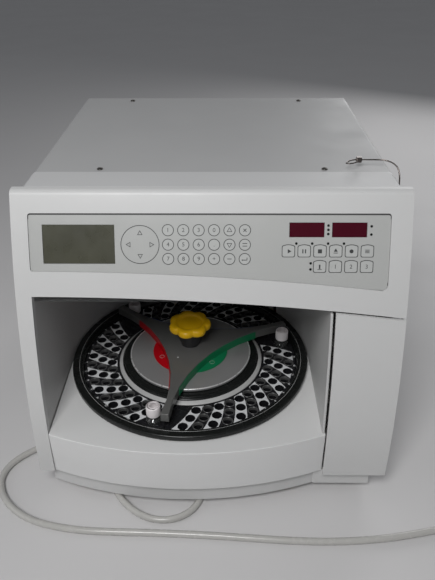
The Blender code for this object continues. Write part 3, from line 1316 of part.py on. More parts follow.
def make_syringe():
    """The upright syringe under its head block, fully pushed in."""
    place = (SYRINGE_X, syringe_y())
    top = SYRINGE_Z + SYRINGE_LENGTH
    bore = SYRINGE_RADIUS - CAP_WALL
    tube("syringe_barrel", SYRINGE_RADIUS, bore, SYRINGE_Z, top, place, GLASS_FINISH, SMALL_STEPS)
    piston = bore - GAP
    rod = piston / 2
    button = SYRINGE_RADIUS + OVERRUN
    button_low = SYRINGE_Z - 2 * SYRINGE_RADIUS
    piston_low = top - 2 * SYRINGE_RADIUS
    profile = [(0, top - OVERRUN), (piston, top - OVERRUN), (piston, piston_low), (rod, piston_low),
               (rod, button_low + SHEET), (button, button_low + SHEET), (button, button_low), (0, button_low)]
    turned("syringe_plunger", profile, (*place, 0), STEEL_FINISH, SMALL_STEPS)


def make_door():
    """The service door: a slab of the face with a return at the right and two hinge lugs."""
    top = opening_edge(DOOR_LEFT)
    inner = DOOR_WALL - DOOR_PROUD
    door = face_band("service_door", (DOOR_LEFT, DOOR_RIGHT), (-DOOR_DROP, top), (-DOOR_PROUD, inner))
    return_outline = face_line(-DOOR_DROP, top, -DOOR_PROUD)
    return_outline += [(DOOR_RETURN_Y, return_outline[-1][1]), (DOOR_RETURN_Y, return_outline[0][1])]
    add(door, prism("return", return_outline, DOOR_RIGHT - SHEET, DOOR_RIGHT, "X"))
    hinge = (DOOR_HINGE_X, DOOR_HINGE_Y)
    flange_middle = DOOR_RIGHT - SHEET / 2
    for z in (LOW_LUG_Z, HIGH_LUG_Z):
        front = face_place(z - BEZEL_LOW)[0] + inner / 2
        outline = [(DOOR_HINGE_X - LUG_REACH, front), (flange_middle, front),
                   (flange_middle, DOOR_RETURN_Y - GAP)]
        outline += arc_points(hinge, LUG_REACH, 0, 180, CORNER_STEPS * 2)
        low, high = span(z, LUG_HEIGHT)
        lug = prism("lug", outline, low, high)
        bore = HINGE_PIN_RADIUS + GAP
        hole = cylinder("pin_hole", bore, low - OVERRUN, high + OVERRUN, hinge, None, HOLE_STEPS)
        add(door, cut(lug, hole))
    above = sweep_points(DOOR_LEFT - OVERRUN, DOOR_RIGHT + OVERRUN, -DOOR_TOP_GAP)
    above += [(DOOR_RIGHT + OVERRUN, BODY_TOP), (DOOR_LEFT - OVERRUN, BODY_TOP)]
    cut(door, prism("above", above, FRONT_Y - BEZEL_DEPTH, FRONT_Y + FACE_LENGTH, "Y"))
    dress(door, HOUSING_FINISH)


def add_hinge_tabs(frame):
    """Two tabs on the front frame with the pins that the door turns on."""
    inner = BODY_HALF_WIDTH - SHEET
    place = (DOOR_HINGE_X, DOOR_HINGE_Y)
    outline = [(inner, DOOR_HINGE_Y - SHEET)]
    outline += arc_points(place, SHEET, -90, 90, CORNER_STEPS * 2)
    outline += [(BODY_HALF_WIDTH, DOOR_HINGE_Y + SHEET), (BODY_HALF_WIDTH, FRAME_SETBACK_Y + SHEET),
                (inner, FRAME_SETBACK_Y + SHEET)]
    half = LUG_HEIGHT / 2
    low_top = LOW_LUG_Z - half - GAP
    high_low = HIGH_LUG_Z + half + GAP
    ends = (
        (low_top - SHEET, low_top, low_top - SHEET / 2, LOW_LUG_Z + half),
        (high_low, high_low + SHEET, HIGH_LUG_Z - half, high_low + SHEET / 2),
    )
    for tab_low, tab_high, pin_low, pin_high in ends:
        tab = prism("tab", outline, tab_low, tab_high)
        add(frame, add(tab, cylinder("pin", HINGE_PIN_RADIUS, pin_low, pin_high, place, None, HOLE_STEPS)))
    return frame


def make_screws():
    """The four pan-head screws of the top cover."""
    names = ("cover_screw_front_left", "cover_screw_rear_left",
             "cover_screw_front_right", "cover_screw_rear_right")
    places = [(x, y) for x in (-SCREW_X, SCREW_X) for y in (SCREW_FRONT_Y, SCREW_REAR_Y)]
    top = BODY_TOP - COVER_INSET
    for name, (x, y) in zip(names, places):
        head_low = top + GAP
        tip = head_low - SCREW_LENGTH
        profile = [(0, tip), (SCREW_SHANK, tip), (SCREW_SHANK, head_low),
                   (SCREW_RADIUS, head_low), (SCREW_RADIUS, head_low + SCREW_HEAD / 2),
                   (SCREW_RADIUS / 2, head_low + SCREW_HEAD), (0, head_low + SCREW_HEAD)]
        screw = turned(name, profile, (x, y, 0), None, SMALL_STEPS)
        slot = block("slot", span(x, 2 * SCREW_RADIUS), span(y, SCREW_HEAD / 2),
                     (head_low + SCREW_HEAD / 2, head_low + SCREW_HEAD + OVERRUN))
        cut(screw, slot)
        dress(screw, DARK_FINISH)


def make_electronics():
    """The main board on its posts over the compartment, with the power supply and two chips on it."""
    width, depth, thickness = BOARD_SIZE
    low = LINER_CEILING + SHEET + BOARD_POST + GAP
    top = low + thickness
    board = block("main_board", span(BOARD_X, width), span(BOARD_Y, depth), (low, top))
    supply_x = BOARD_X + (width - SUPPLY_SIZE[0]) / 2 - BOARD_POST
    chip_x = BOARD_X - width / 4
    things = (
        (supply_x, BOARD_Y, SUPPLY_SIZE),
        (chip_x, BOARD_Y - depth / 4, CHIP_SIZE),
        (chip_x, BOARD_Y + depth / 4, CHIP_SIZE),
    )
    for x, y, size in things:
        add(board, block("thing", span(x, size[0]), span(y, size[1]), (top - thickness / 2, top + size[2])))
    dress(board, BOARD_FINISH)


def make_rear_fittings():
    """The power entry: one flange with the mains inlet and the switch frame, and the rocker in it."""
    outer = rear_face() + GAP
    proud = FRONT_Y + COVER_REAR + REAR_FITTINGS_PROUD
    left = INLET_X - INLET_BODY[0] / 2 - ENTRY_MARGIN
    right = SWITCH_X + SWITCH_BODY[0] / 2 + CAP_WALL
    entry = block("mains_inlet", (left, right), (outer, proud), span(INLET_Z, ENTRY_HEIGHT))
    wall = 2 * CAP_WALL
    bodies = ((INLET_X, INLET_BODY, INLET_DEPTH), (SWITCH_X, SWITCH_BODY, SWITCH_DEPTH))
    for x, (width, height), depth in bodies:
        back = outer - depth
        add(entry, block("body", span(x, width), (back, outer + GAP), span(INLET_Z, height)))
        deep = (back + CAP_WALL, proud + OVERRUN)
        cut(entry, block("hollow", span(x, width - wall), deep, span(INLET_Z, height - wall)))
    add_blades(entry, outer - INLET_DEPTH + CAP_WALL / 2)
    dress(entry, DARK_FINISH)
    make_rocker(rocker_pivot())


def rocker_pivot():
    """The y of the rocker's pivot, just inside the flange's outer face."""
    return FRONT_Y + COVER_REAR + REAR_FITTINGS_PROUD - ROCKER_SETBACK


def make_rocker(pivot_y):
    """The power switch's rocker, tilted to its off side."""
    half_width = SWITCH_BODY[0] / 2 - CAP_WALL - 2 * GAP
    half_height = SWITCH_BODY[1] / 2 - CAP_WALL - ROCKER_TIP
    back = -2 * ROCKER_TIP
    inner = half_height - ROCKER_TIP
    flat = [(ROCKER_TIP, -half_height), (ROCKER_TIP / 2, 0), (ROCKER_TIP, half_height),
            (back, inner), (back, -inner)]
    sine = math.sin(math.radians(-ROCKER_TILT))
    cosine = math.cos(math.radians(-ROCKER_TILT))
    tilted = [(pivot_y + y * cosine - z * sine, INLET_Z + y * sine + z * cosine) for y, z in flat]
    prism("power_rocker", tilted, SWITCH_X - half_width, SWITCH_X + half_width, "X", DARK_FINISH)


def add_blades(inlet, back):
    """The three blades inside the mains inlet, the middle one a little higher."""
    pitch = INLET_BODY[0] / 4
    for place in (-1, 0, 1):
        z = INLET_Z + (OVERRUN if place == 0 else -OVERRUN)
        blade_y = (back, back + INLET_DEPTH / 2)
        add(inlet, block("blade", span(INLET_X + place * pitch, CAP_WALL), blade_y, span(z, 2 * OVERRUN)))


def smooth_route(points, step):
    """A smooth curve through the given points, read at an even step."""
    count = len(points)
    fine = []
    for index in range(count - 1):
        before = points[max(index - 1, 0)]
        start, end = points[index], points[index + 1]
        after = points[min(index + 2, count - 1)]
        corners = (before, start, end, after)
        for part in range(ROUTE_PARTS):
            t = part / ROUTE_PARTS
            cubes = (-t + 2 * t ** 2 - t ** 3, 2 - 5 * t ** 2 + 3 * t ** 3,
                     t + 4 * t ** 2 - 3 * t ** 3, t ** 3 - t ** 2)
            fine.append(tuple(sum(w * c[axis] for w, c in zip(cubes, corners)) / 2 for axis in range(3)))
    fine.append(tuple(points[-1]))
    lengths = [0]
    for first, second in zip(fine, fine[1:]):
        lengths.append(lengths[-1] + math.dist(first, second))
    pieces = max(round(lengths[-1] / step), 1)
    result = []
    at = 0
    for piece in range(pieces + 1):
        target = lengths[-1] * piece / pieces
        while at < len(fine) - 2 and lengths[at + 1] < target:
            at += 1
        share = (target - lengths[at]) / (lengths[at + 1] - lengths[at])
        result.append(tuple(a + (b - a) * share for a, b in zip(fine[at], fine[at + 1])))
    return result, lengths[-1]


def round_tube(name, points, radius, resolution, finish):
    """A round tube along points, with filled ends."""
    curve = bpy.data.curves.new(name, "CURVE")
    curve.dimensions = "3D"
    curve.bevel_depth = radius
    curve.bevel_resolution = resolution
    curve.use_fill_caps = True
    spline = curve.splines.new("POLY")
    spline.points.add(len(points) - 1)
    for point, place in zip(spline.points, points):
        point.co = (*place, 1)
    result = bpy.data.objects.new(name, curve)
    bpy.context.collection.objects.link(result)
    curve.materials.append(material(*finish))
    return result


def make_capillary():
    """The thin steel tube that leaves the right side and lies over the top edge, with its nut."""
    route = [(BODY_HALF_WIDTH + x, FRONT_Y + y, BODY_TOP + z) for x, y, z in CAPILLARY_ROUTE]
    points, length = smooth_route(route, CAPILLARY_STEP)
    round_tube("outlet_capillary", points, CAPILLARY_RADIUS, 2, STEEL_FINISH)
    print("capillary length", round(length, 4))
    nut_x, nut_y, nut_z = CAPILLARY_ROUTE[NUT_POINT]
    place = (FRONT_Y + nut_y, BODY_TOP + nut_z)
    low, high = span(BODY_HALF_WIDTH + nut_x, NUT_LENGTH)
    tube("capillary_nut", NUT_RADIUS, CAPILLARY_RADIUS + GAP, low, high, place, STEEL_FINISH, HEX_STEPS, "X")


def capillary_hole(frame):
    """The hole in the side of the front frame that the capillary comes through."""
    place = (FRONT_Y + CAPILLARY_ROUTE[0][1], BODY_TOP + CAPILLARY_ROUTE[0][2])
    low = BODY_HALF_WIDTH - SHEET - OVERRUN
    high = BODY_HALF_WIDTH + OVERRUN
    return cut(frame, cylinder("hole", CAPILLARY_RADIUS + 2 * GAP, low, high, place, None, HOLE_STEPS, "X"))


def coil_points():
    """The coil's middle line: in along the first layer and out again along the second."""
    outer = COIL_MIDDLE_RADIUS + COIL_PITCH * COIL_LAYER_TURNS / 2
    turns = 2 * COIL_LAYER_TURNS
    straight = 2 * HOSE_RADIUS
    low = hose_low()
    middle = FRONT_Y + COIL_Y_OFFSET
    points = [(COIL_X - straight, middle - outer, low)]
    count = round(turns * COIL_LOOP_POINTS)
    for index in range(count + 1):
        turn = turns * index / count
        radius = outer - COIL_PITCH * (turn if turn < COIL_LAYER_TURNS else turns - turn)
        climb = min(max((turn - COIL_LAYER_TURNS) * 2 + HALF_SHARE, 0), 1)
        angle = math.tau * (turn - HALF_SHARE / 2)
        x = COIL_X + radius * math.cos(angle)
        y = middle + radius * math.sin(angle)
        points.append((x, y, low + COIL_PITCH * climb))
    points.append((COIL_X + straight, middle - outer, low + COIL_PITCH))
    return points


def least_gap(points, diameter):
    """The least clear gap of a coiled tube to itself, measured between points over half a turn apart."""
    apart = COIL_LOOP_POINTS // 2
    least = math.inf
    for index, first in enumerate(points):
        for second, third in zip(points[index + apart:], points[index + apart + 1:]):
            least = min(least, segment_distance(first, second, third))
    return least - diameter


def segment_distance(place, start, end):
    """The distance from a place to a straight stretch."""
    along = [b - a for a, b in zip(start, end)]
    size = sum(value * value for value in along)
    share = sum((p - a) * d for p, a, d in zip(place, start, along)) / size
    share = min(max(share, 0), 1)
    return math.dist(place, [a + d * share for a, d in zip(start, along)])


def make_hose():
    """The drain hose on the table and its unseen length in a coil."""
    low = hose_low()
    straight = 2 * HOSE_RADIUS
    start_y = barb_front() - GAP
    coil = coil_points()
    end_x, end_y, end_z = coil[0]
    end_x -= GAP
    route = [(ELBOW_X, start_y, low), (ELBOW_X, start_y - straight, low)]
    route += [(x, FRONT_Y + y, low) for x, y in HOSE_ROUTE]
    route += [(end_x - straight, end_y, end_z), (end_x, end_y, end_z)]
    points, free_length = smooth_route(route, HOSE_STEP)
    round_tube("drain_hose", points, HOSE_RADIUS, 2, HOSE_FINISH)
    round_tube("hose_coil", coil, HOSE_RADIUS, 1, HOSE_FINISH)
    coil_length = sum(math.dist(first, second) for first, second in zip(coil, coil[1:]))
    gap = least_gap(coil, 2 * HOSE_RADIUS)
    print("hose", round(free_length, 3), "coil", round(coil_length, 3), "least gap", round(gap, 5))


def set_origin(names, place):
    """Move the origin of each named piece to a place, with its shape where it was."""
    for name in names:
        thing = bpy.data.objects[name]
        thing.data.transform(mathutils.Matrix.Translation(place).inverted())
        thing.location = place


def set_origins():
    """Put each moving piece's origin on the axis that it moves about or along."""
    axis = (CAROUSEL_X, CAROUSEL_Y, DECK_TOP)
    set_origin(("carousel_tray", "reference_ring", "carousel_disc"), axis)
    set_origin(("carousel_spindle", "carousel_gear", *RACK_NAMES), axis)
    set_origin([name for name, finish in INLAY_FINISHES], axis)
    set_origin(("star_cover", "knob_collar", "lock_knob"), axis)
    for index in range(RACK_COUNT):
        x, y = around_axis(VIAL_ORBIT, VIAL_ANGLE + index * 360 / RACK_COUNT)
        set_origin(("vial_%d" % (index + 1), "vial_cap_%d" % (index + 1)), (x, y, DECK_TOP))
    set_origin(("motor_pinion",), (*pinion_place(), gear_low()))
    set_origin(("needle_carriage", "needle"), (NEEDLE_X, PORT_Y, NEEDLE_TIP))
    set_origin(("service_door",), (DOOR_HINGE_X, DOOR_HINGE_Y, LOW_LUG_Z))
    set_origin(("valve_rotor",), (VALVE_X, BRACKET_FRONT, VALVE_Z))
    set_origin(("syringe_plunger",), (SYRINGE_X, syringe_y(), SYRINGE_Z))
    set_origin(("power_rocker",), (SWITCH_X, rocker_pivot(), INLET_Z))


def main():
    """Make every piece."""
    clear_scene()
    make_tray()
    make_feet()
    make_deck()
    make_liner()
    make_needle_bay()
    make_bezel()
    make_panel()
    make_shells()
    make_screws()
    make_carousel_tray()
    make_racks()
    make_star()
    make_knob()
    make_vials()
    make_drive()
    make_needle_unit()
    make_door()
    make_service_bay()
    make_electronics()
    make_rear_fittings()
    make_capillary()
    make_hose()
    set_origins()


main()
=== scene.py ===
import json
import math

import bmesh
import bpy
from mathutils import Matrix, Vector


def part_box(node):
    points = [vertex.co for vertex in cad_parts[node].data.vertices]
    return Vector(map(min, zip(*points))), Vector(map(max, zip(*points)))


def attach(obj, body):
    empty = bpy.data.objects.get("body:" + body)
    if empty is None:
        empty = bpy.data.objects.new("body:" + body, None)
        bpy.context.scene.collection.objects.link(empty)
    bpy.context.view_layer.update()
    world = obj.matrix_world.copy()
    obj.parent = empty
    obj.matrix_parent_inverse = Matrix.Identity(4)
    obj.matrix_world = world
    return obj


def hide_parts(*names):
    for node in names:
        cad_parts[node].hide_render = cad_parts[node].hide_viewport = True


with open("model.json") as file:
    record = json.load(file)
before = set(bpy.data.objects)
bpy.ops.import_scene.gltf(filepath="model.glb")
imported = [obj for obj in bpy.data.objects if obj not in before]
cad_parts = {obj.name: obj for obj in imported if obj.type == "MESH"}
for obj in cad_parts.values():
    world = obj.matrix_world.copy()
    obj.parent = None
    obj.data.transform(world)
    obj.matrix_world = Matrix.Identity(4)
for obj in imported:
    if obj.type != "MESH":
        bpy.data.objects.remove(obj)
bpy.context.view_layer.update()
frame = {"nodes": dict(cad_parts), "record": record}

# The frame's own sizes and names
BODIES = frame["record"]["behaviour"]["bodies"]
BODY_OF = {node: body for body, nodes in BODIES.items() for node in nodes}
SLOT_OF = {row["node"]: row["material_slot"] for row in frame["record"]["subparts"]}
BEZEL_LOW_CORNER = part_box("front_bezel")[0]
TRAY_LOW_CORNER, TRAY_HIGH_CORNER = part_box("carousel_tray")
FRONT_Y = BEZEL_LOW_CORNER.y
BEZEL_LOW = BEZEL_LOW_CORNER.z
AXIS_X = (TRAY_LOW_CORNER.x + TRAY_HIGH_CORNER.x) / 2
AXIS_Y = (TRAY_LOW_CORNER.y + TRAY_HIGH_CORNER.y) / 2

# The photograph's camera, found from the edges of the front panel
IMAGE_HEIGHT = 580
FOCAL_PIXELS = 607.07
SENSOR = 36.0
CAMERA_PLACE = Vector((0.01413, FRONT_Y - 0.51034, 0.61738))
CAMERA_YAW = math.radians(-0.77)
CAMERA_PITCH = math.radians(32.05)
CAMERA_ROLL = math.radians(-0.27)
CAMERA_CLIP = 0.01

# The studio, with each lamp's name, place, size and power
FLOOR_HALF = 12.0
SKY_COLOUR = (0.92, 0.95, 1.0, 1)
SKY_STRENGTH = 0.16
LAMP_TARGET = (0, -0.1, 0.15)
STUDIO_LAMPS = (
    ("key", (-0.25, -1.05, 1.28), 0.5, 13),
    ("side", (-1.5, -0.6, 0.75), 0.8, 2.5),
    ("back", (0.8, 1.35, 0.8), 0.9, 6),
)

# The front face is one arc in side view, and places on it are x, s up along the arc, and a depth
FACE_RADIUS = 0.770
OVERLAY_DEPTH = 0.0012
OVERLAY_CORNER = 0.0030
PRINT_THICKNESS = 0.00006

# The dark joint round the overlay, widened into painted shadow where the upper and side walls of its recess
# shade it, widest along the top, with the s where it ends at the left and at the right
SHADOW_BAND_DEPTH = 0.0015
SHADOW_BAND_HEIGHT = 0.0004
SHADOW_BAND_WIDTH = 0.0007
SHADOW_BAND_TOP_WIDTH = 0.0019
SHADOW_BAND_END_S = (0.2585, 0.2470)
SHADOW_BAND_CORNER_PARTS = 6

# Keys, cursor pad and indicators on the overlay
ROUND_KEYS_START = -0.0453
ROUND_KEYS_PITCH = 0.01615
ROUND_KEYS_X = [ROUND_KEYS_START + ROUND_KEYS_PITCH * column for column in range(6)]
ROUND_KEYS_S = (0.3058, 0.2906, 0.2755)
ROUND_KEY_RADIUS = 0.0063
SQUARE_KEYS_START = 0.0813
SQUARE_KEYS_PITCH = 0.01655
SQUARE_KEYS_X = [SQUARE_KEYS_START + SQUARE_KEYS_PITCH * column for column in range(6)]
SQUARE_KEYS_S = 0.2838
LOWER_KEYS_START = 0.1146
LOWER_KEYS_PITCH = 0.0165
LOWER_KEYS_X = [LOWER_KEYS_START + LOWER_KEYS_PITCH * column for column in range(4)]
LOWER_KEYS_S = 0.2673
SQUARE_KEY_WIDTH = 0.0140
SQUARE_KEY_HEIGHT = 0.0128
SQUARE_KEY_CORNER = 0.0020
SQUARE_KEY_ARCH = 0.0009
KEY_CORNER_PARTS = 4
KEY_ARCH_PARTS = 6
PAD_CENTRE = (-0.0748, 0.2906)
PAD_RADIUS = 0.0205
PAD_STEPS = 96
PAD_ARROW_ORBIT = 0.0118
PAD_ARROW_SIZE = 0.0033
KEY_ARROW_SIZE = 0.0034
KEY_LINE = 0.00075
ARROW_LINE = 0.00058
CROSS_REACH = 0.0022
CROSS_SINK_SHARES = {45: 0.05, 135: 0.15}
KEY_NUMBER_SIZE = 0.0062
KEY_NUMBER_RISE_SHARE = 1.2
ROUND_KEY_NUMBERS = (("1", "2", "3", "0"), ("4", "5", "6", "."), ("7", "8", "9", "+"))
LOWER_KEY_NUMBERS = ("1", "2", "3")
INDICATOR_RADIUS = 0.0014
INDICATOR_PLACES = (
    (0.1225, 0.3108), (0.1225, 0.3064), (0.1225, 0.3020), (0.1674, 0.3101), (0.1674, 0.3015),
    (0.1050, 0.2710), (0.1050, 0.2645),
    (0.0894, 0.2920), (0.1060, 0.2920), (0.1226, 0.2920), (0.1392, 0.2920),
)

# Drain hose, its route repeated from the part's source
HOSE_RADIUS = 0.0040
HOSE_BORE = 0.0028
HOSE_SIDES = 20
HOSE_STEP = 0.007
HOSE_STRAIGHT = 2 * HOSE_RADIUS
HOSE_START = (-0.012, FRONT_Y + 0.0437)
HOSE_GAP = 0.0003
HOSE_Z = HOSE_RADIUS + HOSE_GAP
HOSE_ROUTE = (
    (-0.0120, 0.018), (-0.0130, -0.004), (-0.0185, -0.0220), (-0.0300, -0.0360),
    (-0.0490, -0.0445), (-0.0700, -0.0440), (-0.0890, -0.0360), (-0.1060, -0.0220), (-0.1180, -0.0060),
    (-0.1270, 0.0140), (-0.1330, 0.0380), (-0.1450, 0.0620), (-0.1680, 0.0800), (-0.1970, 0.0830),
    (-0.2240, 0.0730), (-0.2480, 0.0570), (-0.2640, 0.0380), (-0.2690, 0.0160), (-0.2620, -0.0060),
    (-0.2450, -0.0270), (-0.2190, -0.0445), (-0.1880, -0.0545), (-0.1540, -0.0600), (-0.1190, -0.0620),
    (-0.0830, -0.0628), (-0.0340, -0.0645), (0.0100, -0.0668), (0.0480, -0.0694), (0.0900, -0.0720),
    (0.1320, -0.0730), (0.1760, -0.0708), (0.2110, -0.0665), (0.2400, -0.0612), (0.2640, -0.0565),
    (0.2900, -0.0535),
)
COIL_X = 0.345
COIL_Y = FRONT_Y - 0.002
COIL_RADIUS = 0.044
COIL_PITCH = 0.0086
COIL_LAYER_TURNS = 1.5
COIL_LOOP_POINTS = 36

# Racks, their angles in degrees about the carousel's axis
RACK_START = -100.4
RACK_SECTOR = 120.0
RACK_GAP_ANGLE = 0.17
RACK_EDGE_RADII = (0.0975, 0.1430)
ROW_START = -91.4
ROW_PITCH = 7.8
ROW_COUNT = 13
ROW_SKEW = 3.8
ROW_RADII = (0.1337, 0.1203, 0.1069)
HOLE_RADIUS = 0.0061
HOLE_DEPTH = 0.0300
CUT_RISE = 0.002
SOCKET_ORBIT = 0.1295
SOCKET_ANGLE = -107.2
SOCKET_RADIUS = 0.0101
SOCKET_STEPS = 36

# The racks' printed rows and numbers, and how far the print keeps from each kind of hole
PRINT_GAP = 0.00002
PRINT_HEIGHT = 0.00012
BAND_START = 0.1398
BAND_LENGTH = 0.0395
BAND_PARTS = 10
BAND_WIDTH_SHARE = 0.98
PRINTED_HOLE_BORDER = 0.00015
PLAIN_HOLE_BORDER = 0.00115
SOCKET_BORDER = 0.0006
RACK_NUMBER_RADIUS = 0.1412
RACK_NUMBER_SIZE = 0.0036
RACK_NUMBER_BOLDNESS = 0.045

# The sleeve in a hole's mouth, as steps out from the hole's wall and up from the rack's top
SLEEVE_OUTLINE = (
    (-0.0005, -0.0040), (-0.0005, 0.0001), (-0.0002, 0.0004), (0.0003, 0.0004), (0.0006, 0.0001),
    (0.0006, -0.0002), (0.0, -0.0040),
)

# Lock knob, with each level's radius, its height, and the share of the lobes' depth that it shows
KNOB_LEVELS = (
    (0.0204, 0.0, 0.6), (0.0228, 0.0004, 0.9), (0.0247, 0.0018, 1.0), (0.0255, 0.0040, 1.0),
    (0.0255, 0.0072, 1.0), (0.0248, 0.0093, 1.0), (0.0233, 0.0106, 0.95), (0.0214, 0.0110, 0.75),
    (0.0194, 0.0110, 0.4), (0.0181, 0.0106, 0.15), (0.0172, 0.0094, 0.0), (0.0164, 0.0080, 0.0),
    (0.0146, 0.0076, 0.0), (0.0100, 0.0082, 0.0), (0.0040, 0.0086, 0.0),
)
KNOB_HEIGHT = 0.011
KNOB_LOBES = 7
KNOB_LOBE_DEPTH = 0.0025
KNOB_LOBE_SOFTNESS = 0.01
KNOB_LOBE_POWER = 0.33
KNOB_STEPS = 112

# Caps of the large vials
CAP_RIBS = 40
RIB_RADIUS = 0.00028
RIB_SIDES = 6
RIB_SINK = 0.00015
RIB_LOW_INSET = 0.0012
RIB_HIGH_INSET = 0.0016
CAP_LIP_RADIUS_SHARE = 0.62
CAP_LIP_SINK = 0.0002
CAP_LIP_THICKNESS = 0.00045

# Prints on the star cover and its leaves
STAR_DOT_ORBIT = 0.035
STAR_DOT_ANGLE = -115
STAR_DOT_RADIUS = 0.0010
STAR_DOT_SINK = 0.0001
STAR_DOT_RISE = 0.00015
LEAF_THICKNESS = 0.0008
LEAF_RING_ORBIT = 0.041
LEAF_RING_ANGLES = (-43.4, -156.4, 83.0)
LEAF_RING_RADIUS = 0.0031
LEAF_RING_THICKNESS = 0.00022

# A bright bead painted as the highlight along the disc's edge, and the narrow lip inside the tray's rim,
# whose grey is painted highlight
DISC_EDGE_INSET = 0.0008
DISC_EDGE_SINK = 0.0007
DISC_EDGE_THICKNESS = 0.0010
RIM_LINE_RADIUS = 0.1494
RIM_LINE_SINK = 0.0004
RIM_LINE_THICKNESS = 0.0005

# How the CAD meshes are read and rounded, distances in metres and angles in degrees
WELD_DISTANCE = 0.00002
FLAT_ANGLE = 0.6
HARD_ANGLE = 32.0
EDGE_SEGMENTS = 2
PLANE_REACH = 0.00004
NEAR_AXIS = 0.00005
STRAIGHT_ANGLE = 165
LEAST_ROUNDING = 0.00003
ROUNDING_SHARE = 0.4
ROUNDING_PARTS = 3
BUILT_SHARP_ANGLE = 35.0
SKIN_SHARP_ANGLE = 50.0
TURNED_SHARP_ANGLE = 40.0
KNOB_SHARP_ANGLE = 60.0

# How far the hard edges of each angular node are rounded
EDGE_WIDTHS = {
    "front_bezel": 0.0009, "sample_deck": 0.0016, "service_door": 0.0008, "front_frame": 0.0006,
    "top_cover": 0.0006, "rear_panel": 0.0004, "base_tray": 0.0008, "compartment_liner": 0.0006,
    "needle_bay": 0.0004, "keypad_overlay": 0.0, "lcd_module": 0.0001, "led_display_left": 0.0001,
    "led_display_right": 0.0001, "star_cover": 0.0006, "inlay_green": 0.0001, "inlay_blue": 0.0001,
    "inlay_red": 0.0001, "carousel_gear": 0.0002, "motor_pinion": 0.0002, "carousel_motor": 0.0012,
    "needle_rail": 0.0005, "needle_carriage": 0.0010, "needle": 0.0004, "service_bracket": 0.0005,
    "main_board": 0.0003, "mains_inlet": 0.0004, "power_rocker": 0.0003,
    "cover_screw_front_left": 0.0002, "cover_screw_rear_left": 0.0002,
    "cover_screw_front_right": 0.0002, "cover_screw_rear_right": 0.0002,
    "valve_body": 0.0004, "valve_rotor": 0.0003, "capillary_nut": 0.0003, "outlet_capillary": 0.0,
}

# Angular nodes whose finish isn't the one named after their slot
OTHER_FINISHES = {
    # The deck takes a lighter copy of the housing's white: painted light
    "top_cover": "cover_grey", "rear_panel": "cover_grey", "sample_deck": "deck_painted_light_white",
    # The capillary and its nut take a darker copy of steel: a painted dark reflection
    "outlet_capillary": "steel_painted_dark_reflection", "capillary_nut": "steel_painted_dark_reflection",
}

# Turned nodes on the carousel's axis, with the steps round them and the rounding of their edges
CAROUSEL_TURNED = (
    ("carousel_tray", 160, 0.0012), ("reference_ring", 128, 0.0003), ("carousel_disc", 128, 0.0008),
    ("carousel_spindle", 32, 0.0004), ("knob_collar", 64, 0.0006), ("spindle_bearing", 48, 0.0006),
)

# Turned nodes on axes of their own
SMALL_TURNED = (
    "foot_front_left", "foot_front_right", "foot_rear_left", "foot_rear_right",
    "vial_1", "vial_2", "vial_3", "vial_cap_1", "vial_cap_2", "vial_cap_3",
    "wash_port", "syringe_barrel", "syringe_plunger",
)
SMALL_TURNED_STEPS = 40
SMALL_TURNED_ROUNDING = 0.0006

